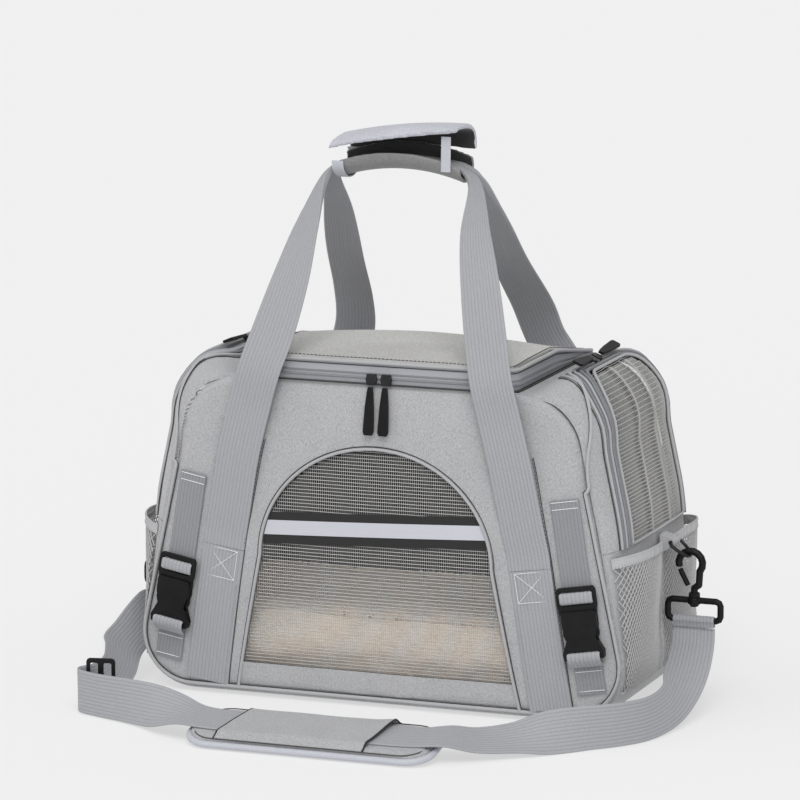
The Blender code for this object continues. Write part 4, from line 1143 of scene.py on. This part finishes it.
def make_pocket(side, word):
    foot = distance_at(lambda x, z: z >= POCKET_FOOT_Z)
    rim = distance_at(lambda x, z: z >= POCKET_RIM_Z)

    def place(s, y, h):
        dip = 0.0065 * math.exp(-((y / 0.022) ** 2)) * ramp(s, foot, rim)
        return on_gusset(side * (s - dip), y, pocket_height(s, y, foot, rim) + GAP + 0.0007 + h)

    bm = bmesh.new()
    span, pitch, slant = rim - foot, 0.0036, 0.55
    for lean in (1, -1):
        start = -POCKET_HALF - span * slant if lean > 0 else -POCKET_HALF
        stop = POCKET_HALF if lean > 0 else POCKET_HALF + span * slant
        for y0 in steps_of(start, stop, pitch):
            run = []
            for s in steps_of(foot, rim - 0.003, 0.0055):
                y = y0 + lean * (s - foot) * slant
                if abs(y) <= POCKET_HALF:
                    run.append(place(s, y, 0.0003 * lean))
            if len(run) > 1:
                add_tube(bm, run, 0.00052)
    mesh_object(f"{word}_pocket_net", bm, "net", BAG, 60, [word + "_pocket"])
    depths = steps_of(-POCKET_HALF, POCKET_HALF, 0.0035)
    bm = grid_bmesh(spread(rim - 0.0085, rim, 4), depths, lambda s, y, h: place(s, y, h + 0.0002), 0.0, 0.0012)
    mesh_object(f"{word}_pocket_rim", bm, "elastic", BAG, 50)
    bm = bmesh.new()
    for down in (0.0072, 0.0015):
        stitches(bm, [place(rim - down, y, 0.0014) for y in depths], Vector((side, 0, 0.2)).normalized())
    mesh_object(f"{word}_pocket_stitch", bm, "thread_grey", BAG, 60)
    seam = [place(s, 0.0, 0.0006) for s in steps_of(foot, rim - 0.004, 0.004)]
    tube_piece(f"{word}_pocket_divider", seam, 0.0012, "binding", BAG, 8)
    base = [on_gusset(side * (foot - 0.001), y, 0.0008) for y in depths]
    tube_piece(f"{word}_pocket_base", base, 0.0012, "binding", BAG, 8)


for side, word in SIDES:
    make_door(side, word)
    make_pocket(side, word)

# ---------------------------------------------------------------- lid


def lid_height(y):
    """How far the lid's edge stands above its foot: full at the front, thin at the rear fold."""
    share = (LID_REAR - y) / (LID_REAR + HALF_DEPTH)
    return LID_REAR_HEIGHT + (LID_FRONT_HEIGHT - LID_REAR_HEIGHT) * min(1, share * 2.2)


def make_lid():
    """The lid: a domed net, a side wall with the zip in it, and the fold it hinges on."""
    body = BODY_OF["lid_mesh"]
    front, half, radius = FRONT + 0.0012, LID_HALF_LENGTH, 0.016

    def on_lid(x, y, layer):
        across = 1 - (x / half) ** 2
        along = math.sin(math.pi * (y - front) / (LID_REAR - front))
        sag = 0.0008 * noise.noise(Vector((x * 18, y * 18, 4.2)))
        dome = LID_DOME * max(0, across) * max(0, along)
        return Vector((x, y, LID_FOOT + lid_height(y) + dome + layer + sag))

    def inside(x, y):
        du, dv = abs(x) - (half - radius), (front + radius) - y
        return abs(x) < half - 0.002 and not (du > 0 and dv > 0 and math.hypot(du, dv) > radius - 0.002)

    bm = bmesh.new()
    xs, ys = steps_of(-half, half, 0.0021), steps_of(front + 0.002, LID_REAR, 0.0030)
    yarns(bm, inside, on_lid, xs, ys, 0.005, 0.00045, 0.00062)
    mesh_object("lid_net", bm, "yarn_lid", body, 60, ["lid_mesh"])

    corner = arc((half - radius, front + radius), radius, -90, 0, 12)
    right = [(x, front) for x in steps_of(0, half - radius, 0.008)][:-1] + corner
    right += [(half, y) for y in steps_of(front + radius, LID_REAR, 0.008)][1:]
    plan = [(-x, y) for x, y in reversed(right)] + right[1:]

    def band(share, out):
        """A line round the lid's side wall, at a share of its height and a distance proud of it."""
        line = []
        for i, (x, y) in enumerate(plan):
            before, after = plan[max(0, i - 1)], plan[min(len(plan) - 1, i + 1)]
            way = Vector((after[0] - before[0], after[1] - before[1])).normalized()
            normal = Vector((way.y, -way.x))
            z = LID_FOOT + lid_height(y) * share
            line.append(Vector((x + normal.x * out, y + normal.y * out, z)))
        return line

    layers, ridges = 12, ((0.12, 0.05, 0.0012), (0.26, 0.06, 0.0016), (0.40, 0.05, 0.0012))
    bm = bmesh.new()
    outer, inner = [], []
    for i in range(layers + 1):
        t = i / layers
        proud = sum(height * math.exp(-(((t - centre) / width) ** 2)) for centre, width, height in ridges)
        outer.append(band(t, proud - 0.0004))
        inner.append(band(t, -0.0016))
    rings = []
    for i in range(len(plan)):
        ring = [bm.verts.new(outer[k][i]) for k in range(layers + 1)]
        ring += [bm.verts.new(inner[k][i]) for k in reversed(range(layers + 1))]
        rings.append(ring)
    for near, far in zip(rings, rings[1:]):
        for k in range(len(near)):
            n = (k + 1) % len(near)
            bm.faces.new((near[k], near[n], far[n], far[k]))
    bm.faces.new(rings[0][::-1])
    bm.faces.new(rings[-1])
    mesh_object("lid_side", bm, "zip_light", body, 55, ["lid_rim"])
    for name, share, out, size, material in (
        ("roll", 0.97, 0.0006, 0.0017, "binding"),
        ("line_top", 0.80, -0.0001, 0.0004, "thread_dark"),
        ("coil", 0.26, 0.0011, 0.0011, "zip_coil"),
        ("tape", 0.44, 0.0002, 0.0009, "zip_tape"),
    ):
        tube_piece(f"lid_{name}", resampled(band(share, out), 0.004), size, material, body, 8)
    foot = [Vector((p.x * 1.004, p.y - 0.0006, LID_FOOT - 0.0006)) for p in band(0, 0.0008)]
    tube_piece("lid_foot_line", resampled(foot, 0.004), 0.0007, "dark", BAG, 6)
    end = half - 0.0015
    fold = [Vector((x, LID_REAR + 0.0015, LID_FOOT + 0.0008)) for x in steps_of(-end, end, 0.008)]
    tube_piece("lid_hinge_fold", fold, 0.0023, "cloth", BAG, 12)

    rim_stitch = []
    for x, y in plan:
        scale = 1 - 0.0065 / math.hypot(x, y) if math.hypot(x, y) else 1
        rim_stitch.append(on_lid(x * scale, max(front + 0.0055, min(LID_REAR - 0.004, y * scale)), 0.0010))
    bm = bmesh.new()
    stitches(bm, rim_stitch, (0, 0, 1), 0.0036, 0.0022, 0.0004)
    mesh_object("lid_stitch", bm, "thread_dark", body, 60)


make_lid()

# ---------------------------------------------------------------- handles

HANDLE_LEAN = -0.005
HANDLE_LEANS = {
    "front": (0, 0, 0, 0, 0.001, 0.002, 0.002, -0.001, -0.004),
    "rear": (0, 0, -0.004, -0.010, -0.016, -0.017, -0.013, -0.009, -0.006),
}
HANDLE_ROUTES = {
    "front": (0.1388, 0.1320, 0.1235, 0.1130, 0.1045, 0.0958, 0.0855, 0.0765, 0.0690),
    "rear": (0.1388, 0.1320, 0.1215, 0.1050, 0.0900, 0.0840, 0.0770, 0.0730, 0.0690),
}


def handle_keys(word, side_y, side):
    """One half of a handle, from its box stitch up to the middle of the grip, as in the CAD source."""
    face = HALF_DEPTH + 0.0004
    grip = GRIP_Y * side_y + 0.0065
    shares = {"front": (0.0030, 0.83, 0.52, 0.10), "rear": (-0.0050, 0.58, 0.30, 0.06)}
    crossing, first, second, third = shares[word]
    rows = [
        (face + 0.0026, STITCH_Z + 0.0040, (1, 0, 0.16), WIDE_WEB, WEB),
        (face + 0.0030, 0.170, (1, 0, 0.18), WIDE_WEB, WEB),
        (face + 0.0065, 0.215, (1, 0, 0.20), WIDE_WEB, WEB),
        (face + 0.0110, 0.258, (1, 0, 0.21), WIDE_WEB, WEB),
        (face + 0.0120, 0.290, (1, 0, 0.22), WIDE_WEB, WEB),
        (face + crossing, 0.322, (1, 0, 0.22), WIDE_WEB, WEB),
        (grip + first * (face - grip), 0.366, (1, -0.15 * side_y, 0.24), 0.034, WEB),
        (grip + second * (face - grip), 0.408, (1, -0.5 * side_y, 0.2), 0.026, 0.0022),
        (grip + third * (face - grip), GRIP_Z - 0.0255, (0.5, -1.0 * side_y, 0.2), 0.013, 0.005),
        (grip, GRIP_Z - 0.0075, (0, -side_y, 0), 0.010, 0.006),
        (grip, GRIP_Z - 0.0030, (0, -side_y, 0), 0.010, 0.006),
        (grip, GRIP_Z, (0, -side_y, 0), 0.010, 0.006),
    ]
    keys = []
    halves = (*HANDLE_ROUTES[word], 0.055, 0.035, 0.0)
    leans = (*HANDLE_LEANS[word], *[HANDLE_LEAN] * 3)
    for x, lean, (out, z, (ax, ay, az), width, thick) in zip(halves, leans, rows):
        bend = belly(x, z) if z < 0.25 else 0
        keys.append((side * x + lean, side_y * (out + bend), z, side * ax, ay, az, width, thick))
    return keys


def make_handles():
    for side_y, word in ((-1, "front"), (1, "rear")):
        right, left = handle_keys(word, side_y, 1), handle_keys(word, side_y, -1)
        for half in (right, left):  # the sewn end lies in one plane with the strap's base below it
            x, y, z, *rest = half[0]
            sunk = side_y * (HALF_DEPTH + GAP + 0.0003 + WEB / 2 + belly(x, STITCH_Z))
            half[:1] = [(x, sunk, STITCH_Z + 0.0003, *rest), (x - math.copysign(0.002, x), sunk, 0.146, *rest)]
            for i, drop in ((-3, 0.0040), (-2, 0.0045), (-1, 0.0045)):  # the grip's padding hides it here
                x, y, z, ax, ay, az, width, _ = half[i]
                half[i] = (x, y, z - drop, ax, ay, az, width, 0.0032)
        rows = ribbon_rows(right + left[-2::-1], 0.0045)
        bm = webbing_bmesh(rows, WIDE_RIBS)
        name = word + "_handle"
        mesh_object(name + "_webbing", bm, "web", BODY_OF[name], 50, [name])
        wall = on_front if side_y < 0 else on_rear
        out = out_of_front if side_y < 0 else out_of_rear
        for side, hand in SIDES:
            make_strap_base(f"{word}_{hand}", side, wall, out)


def make_strap_base(name, side, wall, out):
    """The sewn lower part of a handle: flat ribbed webbing, edge stitches and a crossed box of stitches."""
    foot, head, lean = (0.1570, 0.0115), (0.1390, STITCH_Z), 0.15

    def along(t):
        return foot[0] + (head[0] - foot[0]) * t, foot[1] + (head[1] - foot[1]) * t

    rows = []
    for t in spread(0, 1, 32):
        x, z = along(t)
        middle = wall(side * x, z, GAP + 0.0003 + WEB / 2)
        rows.append(Vector((*middle, side * 1.0, 0, side * lean, WIDE_WEB, WEB)))
    bm = webbing_bmesh(rows, WIDE_RIBS)
    mesh_object(name + "_sewn_webbing", bm, "web", BAG, 50, [name + "_strap_base"])

    def at(u, t, h=0.0022):
        x, z = along(t)
        return wall(side * (x + u), z + lean * u, h)

    bm = bmesh.new()
    for u in (-0.0165, 0.0165):
        stitches(bm, [at(u, t) for t in spread(0.01, 0.76, 40)], out, 0.0032, 0.0022, 0.00028)
    mesh_object(name + "_edge_stitch", bm, "thread_grey", BAG, 60)
    bm = bmesh.new()
    low, high, half = 0.775, 0.985, 0.0135
    corners = [(-half, low), (half, low), (half, high), (-half, high)]
    crosses = (corners[0], corners[2]), (corners[1], corners[3])
    for a, b in (*zip(corners, corners[1:] + corners[:1]), *crosses):
        line = [at(a[0] + (b[0] - a[0]) * t, a[1] + (b[1] - a[1]) * t, 0.0023) for t in spread(0, 1, 12)]
        stitches(bm, line, out, 0.0026, 0.0021, 0.00030)
    mesh_object(name + "_box_stitch", bm, "thread", BAG, 60)


make_handles()


def make_strap_edge_shadows():
    """A dark line up the front face beside the right-hand edge of each handle, painted shadow of the strap's edge,
    with a row of dark stitches along it.
    """
    centre = [(0.1570, 0.0115), (0.1390, STITCH_Z), (0.1320, 0.170), (0.1235, 0.215), (0.1205, 0.228)]
    for side, word in SIDES:
        line = [on_front(side * x + 0.0198, z, 0.0004) for x, z in centre]
        line = resampled(smoothed([tuple(p) for p in line], 8), 0.004)
        line = [on_front(p.x, p.z, 0.0004) for p in line]
        # painted shadow of the strap's right edge, drawn as a dark tube
        tube_piece(f"front_{word}_strap_edge_shadow", line, 0.0004, "dark", BAG, 5)
        bm = bmesh.new()
        stitches(bm, [on_front(p.x - 0.0012, p.z, 0.0004) for p in line], out_of_front, 0.0034, 0.0022, 0.0003)
        mesh_object(f"front_{word}_strap_seam_stitch", bm, "thread_dark", BAG, 60)


make_strap_edge_shadows()

# ---------------------------------------------------------------- grip and shoulder pad


GRIP_HALF, GRIP_ARCH = 0.058, 0.011


def swept(section, inward, thick, arch, tilt, steps=41):
    """A thick curved sheet: a cross-section of (y, z) points swept along the grip.

    tilt lifts its right end and lowers its left one, most of all at the section's last point.
    """
    us, vs = list(range(steps)), list(range(len(section)))

    def place(i, k, layer):
        x = GRIP_HALF * (2 * i / (steps - 1) - 1)
        y, z = section[int(k)]
        ny, nz = inward[int(k)]
        share = 0.3 + 0.7 * k / (len(section) - 1)
        rise = tilt * share * x / GRIP_HALF - arch * (x / GRIP_HALF) ** 2
        return Vector((x + HANDLE_LEAN, GRIP_Y + y + ny * layer, GRIP_Z + rise + z + nz * layer))

    return grid_bmesh(us, vs, place, 0.0, thick)


def padded_piece(bm, name, node, material, voxel=0.0018, cap=0.0010, shrink=0.0003):
    """A padded piece of cloth in the place of a CAD solid, swelled by a short cloth simulation."""
    mesh = bpy.data.meshes.new(name)
    bm.to_mesh(mesh)
    bm.free()
    obj = new_object(name, mesh)
    soften(obj, voxel, 3.0, cap, shrink)
    wear(obj, material)
    finish_piece(obj, BODY_OF[node], [node])


def make_grip():
    """The padded wrap that holds both handles, and the flap that folds over it from the rear."""
    radius, squash = 0.0195, 0.70
    angles = [math.radians(a) for a in spread(172, 398, 40)]
    ring = [(radius * math.cos(a), squash * radius * math.sin(a)) for a in angles]
    inward = [(-math.cos(a), -math.sin(a)) for a in angles]
    padded_piece(swept(ring, inward, 0.0040, GRIP_ARCH, 0.0), "grip_padding", "grip_wrap", "cloth_grip")

    keys = [(0.0207, 0.0020), (0.0210, 0.0090), (0.0190, 0.0145), (0.0130, 0.0178), (0.0040, 0.0192)]
    keys += [(-0.0080, 0.0188), (-0.0190, 0.0172), (-0.0265, 0.0142)]
    section = [(p.x, p.y) for p in smoothed(keys, 5)]
    ups = []
    for i in range(len(section)):
        (ya, za), (yb, zb) = section[max(0, i - 1)], section[min(len(section) - 1, i + 1)]
        way = Vector((yb - ya, zb - za)).normalized()
        ups.append((way.y, -way.x))
    padded_piece(swept(section, ups, 0.0042, 0.0035, 0.0095), "grip_cover", "grip_flap", "cloth_flap")

    tab, cuff = [], []
    for t in spread(0, 1, 8):
        y, z = GRIP_Y - radius - 0.0022 + 0.0012 * t, GRIP_Z - 0.0125 + 0.0300 * t
        tab.append((0.0460 + HANDLE_LEAN, y, z, 1, 0, 0, 0.0085, 0.0012))
    for y, z in arc((0, 0), radius + 0.0010, 174, 396, 23):
        place = (-(GRIP_HALF - 0.0055) + HANDLE_LEAN, GRIP_Y + y, GRIP_Z - GRIP_ARCH * 0.82 + squash * z)
        cuff.append((*place, 1, 0, 0, 0.0105, 0.0012))
    for name, keys in (("grip_tab", tab), ("grip_cuff_left", cuff)):
        bm = webbing_bmesh(smoothed(keys, 2), 4, 0.0001)
        mesh_object(name, bm, "binding_blue", BODY_OF["grip_wrap"], 50)


make_grip()


def make_pad():
    """The shoulder pad: a bound cushion with a cloth cover, which the strap runs beneath."""
    pad_y, pad_half, half_width, tilt = -0.2590, 0.108, 0.031, math.radians(12)
    body = BODY_OF["shoulder_pad"]

    def on_pad(x, y, h):
        up = (y + half_width) * math.sin(tilt) + h * math.cos(tilt)
        return Vector((x + 0.003, pad_y + y * math.cos(tilt) - h * math.sin(tilt), up))

    bm = sheet_bmesh([rounded_box(pad_half, half_width, 0.022, 10)], on_pad, 0.0006, 0.0100)
    padded_piece(bm, "shoulder_cushion", "shoulder_pad", "cloth_soft", 0.0030, 0.0020, 0.0010)
    outline = rounded_box(pad_half - 0.0006, half_width - 0.0006, 0.0215, 10)
    for name, h, size, material, grow in (
        ("binding", 0.0042, 0.0030, "binding_blue", 1),
        ("line", 0.0092, 0.0005, "thread_dark", 0.955),
    ):
        line = resampled([on_pad(x * grow, y * grow, h) for x, y in outline], 0.004, True)
        tube_piece("pad_" + name, line, size, material, body, 10, True)

    loop = [(-0.080, -0.0285), (0.052, -0.0285), (0.066, 0.0285), (-0.062, 0.0285)]

    def over_strap(x, y, h):
        """The pad's upper cloth, which the strap runs beneath."""
        edge = ramp(0.0290 - abs(y), 0.0, 0.0085)
        lift = 0.0020 * ramp(x, 0.045, 0.066) + 0.0012 * noise.noise(Vector((x * 25, y * 40, 2.0)))
        return on_pad(x, y, 0.0098 + 0.0052 * edge + min(0.0025, lift) * edge + h)

    columns, rows = steps_of(-0.08, 0.066, 0.004), steps_of(-0.028, 0.028, 0.002)
    bm = sheet_bmesh([loop], over_strap, -0.0012, 0.0, columns, rows)
    cover = mesh_object("pad_cover", bm, "cloth_soft", body, 50)
    # painted shade: a thin black tube along each end of the cover stands for the shadow in the gap beneath it
    for word, (a, b) in (("left", (loop[3], loop[0])), ("right", (loop[1], loop[2]))):
        line = [over_strap(a[0] + (b[0] - a[0]) * t, a[1] + (b[1] - a[1]) * t, -0.0004) for t in spread(0, 1, 24)]
        tube_piece(f"pad_end_shade_{word}", line, 0.0008, "black_tape_and_shade", body, 6)


make_pad()

# ---------------------------------------------------------------- buckles and their straps

BUCKLE_X, BUCKLE_Z, BUCKLE_TILT = 0.1840, 0.0900, 8.8


def make_buckle_straps():
    for side, word in SIDES:
        turn = math.radians(BUCKLE_TILT) * side

        def along_face(u, v, h, side=side, turn=turn):
            x = side * BUCKLE_X + u * math.cos(turn) - v * math.sin(turn)
            z = BUCKLE_Z + u * math.sin(turn) + v * math.cos(turn)
            return on_front(x, z, h)

        across = along_face(0.01, 0, 0) - along_face(-0.01, 0, 0)
        for part, low, high, lift, bars in (
            ("upper", 0.0150, 0.1050, 2 * GAP + WEB / 2, (0.1035, 0.0975)),
            ("lower", -0.0620, -0.0230, GAP + WEB / 2, (-0.0590, -0.0420)),
        ):
            rows = [Vector((*along_face(0, v, lift), *across, NARROW_WEB, WEB)) for v in steps_of(low, high, 0.004)]
            bm = webbing_bmesh(rows, NARROW_RIBS, 0.00025)
            name = f"{word}_buckle_{part}"
            mesh_object(name + "_web", bm, "web_narrow", BAG, 50, [name + "_strap"])
            bm = bmesh.new()
            for v in bars:
                line = [along_face(u, v, lift + 0.0010) for u in spread(-0.0115, 0.0115, 9)]
                stitches(bm, line, out_of_front, 0.0024, 0.0022, 0.00034)
            mesh_object(name + "_stitch", bm, "thread", BAG, 60)


make_buckle_straps()

BUCKLE_BANDS = {  # distances up the buckle, then out from the face
    "male": (
        (0.0268, 0.0262, 0.0240, 0.0205, 0.0184, 0.0178),
        (0.0070, 0.0090, 0.0098, 0.0098, 0.0090, 0.0070),
    ),
    "female": (
        (-0.0245, -0.0250, -0.0275, -0.0310, -0.0345, -0.0370),
        (0.0080, 0.0112, 0.0120, 0.0112, 0.0080, 0.0045),
    ),
}


def make_buckle_bands():
    """The webbing where it shows on the buckles: over the ladder bar, and round the foot of the socket."""
    for side, word in SIDES:
        turn = math.radians(BUCKLE_TILT) * side
        centre = on_front(side * BUCKLE_X, BUCKLE_Z, 0)
        rise = belly(side * BUCKLE_X + 0.01, BUCKLE_Z) - belly(side * BUCKLE_X - 0.01, BUCKLE_Z)
        frame_x = Vector((math.cos(turn), -rise / 0.02, math.sin(turn))).normalized()
        frame_out = frame_x.cross(Vector((-math.sin(turn), 0, math.cos(turn)))).normalized()
        frame_up = frame_out.cross(frame_x)
        for part, (ups, outs) in BUCKLE_BANDS.items():
            keys = [(*(centre + frame_up * v + frame_out * h), *frame_x, 0.0285, 0.0013) for v, h in zip(ups, outs)]
            bm = webbing_bmesh(smoothed(keys, 3), NARROW_RIBS, 0.0002)
            mesh_object(f"{word}_buckle_{part}_band", bm, "web", BODY_OF[f"{word}_buckle_{part}"], 50)


make_buckle_bands()

HARD_PARTS = {
    "plastic": ("buckle_male", "buckle_female", "_pull", "hook", "hook_gate", "hook_base", "strap_adjuster"),
    "metal": ("_slider", "_ring"),
}


def finish_hard_parts():
    """Moulded and metal parts keep their CAD shape, with small rounded edges."""
    for node, obj in CAD.items():
        for look, words in HARD_PARTS.items():
            if any(node.endswith(w) for w in words):
                wear(obj, look)
                weld = obj.modifiers.new("weld", "WELD")
                weld.merge_threshold = 0.00002
                round_edges = obj.modifiers.new("round", "BEVEL")
                round_edges.width = 0.0005
                round_edges.segments = 2
                round_edges.limit_method = "ANGLE"
                round_edges.angle_limit = math.radians(40)
                if "hook" in node:
                    fuller = obj.modifiers.new("fuller", "DISPLACE")
                    fuller.mid_level = 0.0
                    fuller.strength = 0.0009
                break
    for word in ("right", "left"):
        wear(CAD[word + "_ring_tab"], "binding")


finish_hard_parts()

# ---------------------------------------------------------------- floor and light


def make_studio():
    scene = bpy.context.scene
    bm = bmesh.new()
    bmesh.ops.create_grid(bm, x_segments=1, y_segments=1, size=30)
    mesh = bpy.data.meshes.new("floor")
    bm.to_mesh(mesh)
    bm.free()
    shader = Shader("floor_paint", (0.35, 0.35, 0.35), 0.9)
    shader.set("Specular IOR Level", 0.0)
    shader.set("Emission Color", (1, 1, 1, 1))
    shader.set("Emission Strength", 0.52)
    mesh.materials.append(shader.material)
    new_object("floor", mesh)

    world = bpy.data.worlds.new("studio")
    world.use_nodes = True
    world.node_tree.nodes["Background"].inputs[0].default_value = (1, 1, 1, 1)
    world.node_tree.nodes["Background"].inputs[1].default_value = 0.55
    scene.world = world

    for name, towards, angle, strength in (
        ("key", (0.30, -0.75, 1.0), 40, 1.4),
        ("side", (-0.9, -0.5, 0.9), 60, 0.4),
        ("front", (0.25, -1.0, 0.12), 40, 0.6),
    ):
        data = bpy.data.lights.new(name, "SUN")
        data.angle = math.radians(angle)
        data.energy = strength
        light = new_object(name, data)
        light.rotation_euler = Vector(towards).to_track_quat("Z", "Y").to_euler()
    scene.view_settings.view_transform = "Standard"
    scene.view_settings.look = "None"


make_studio()
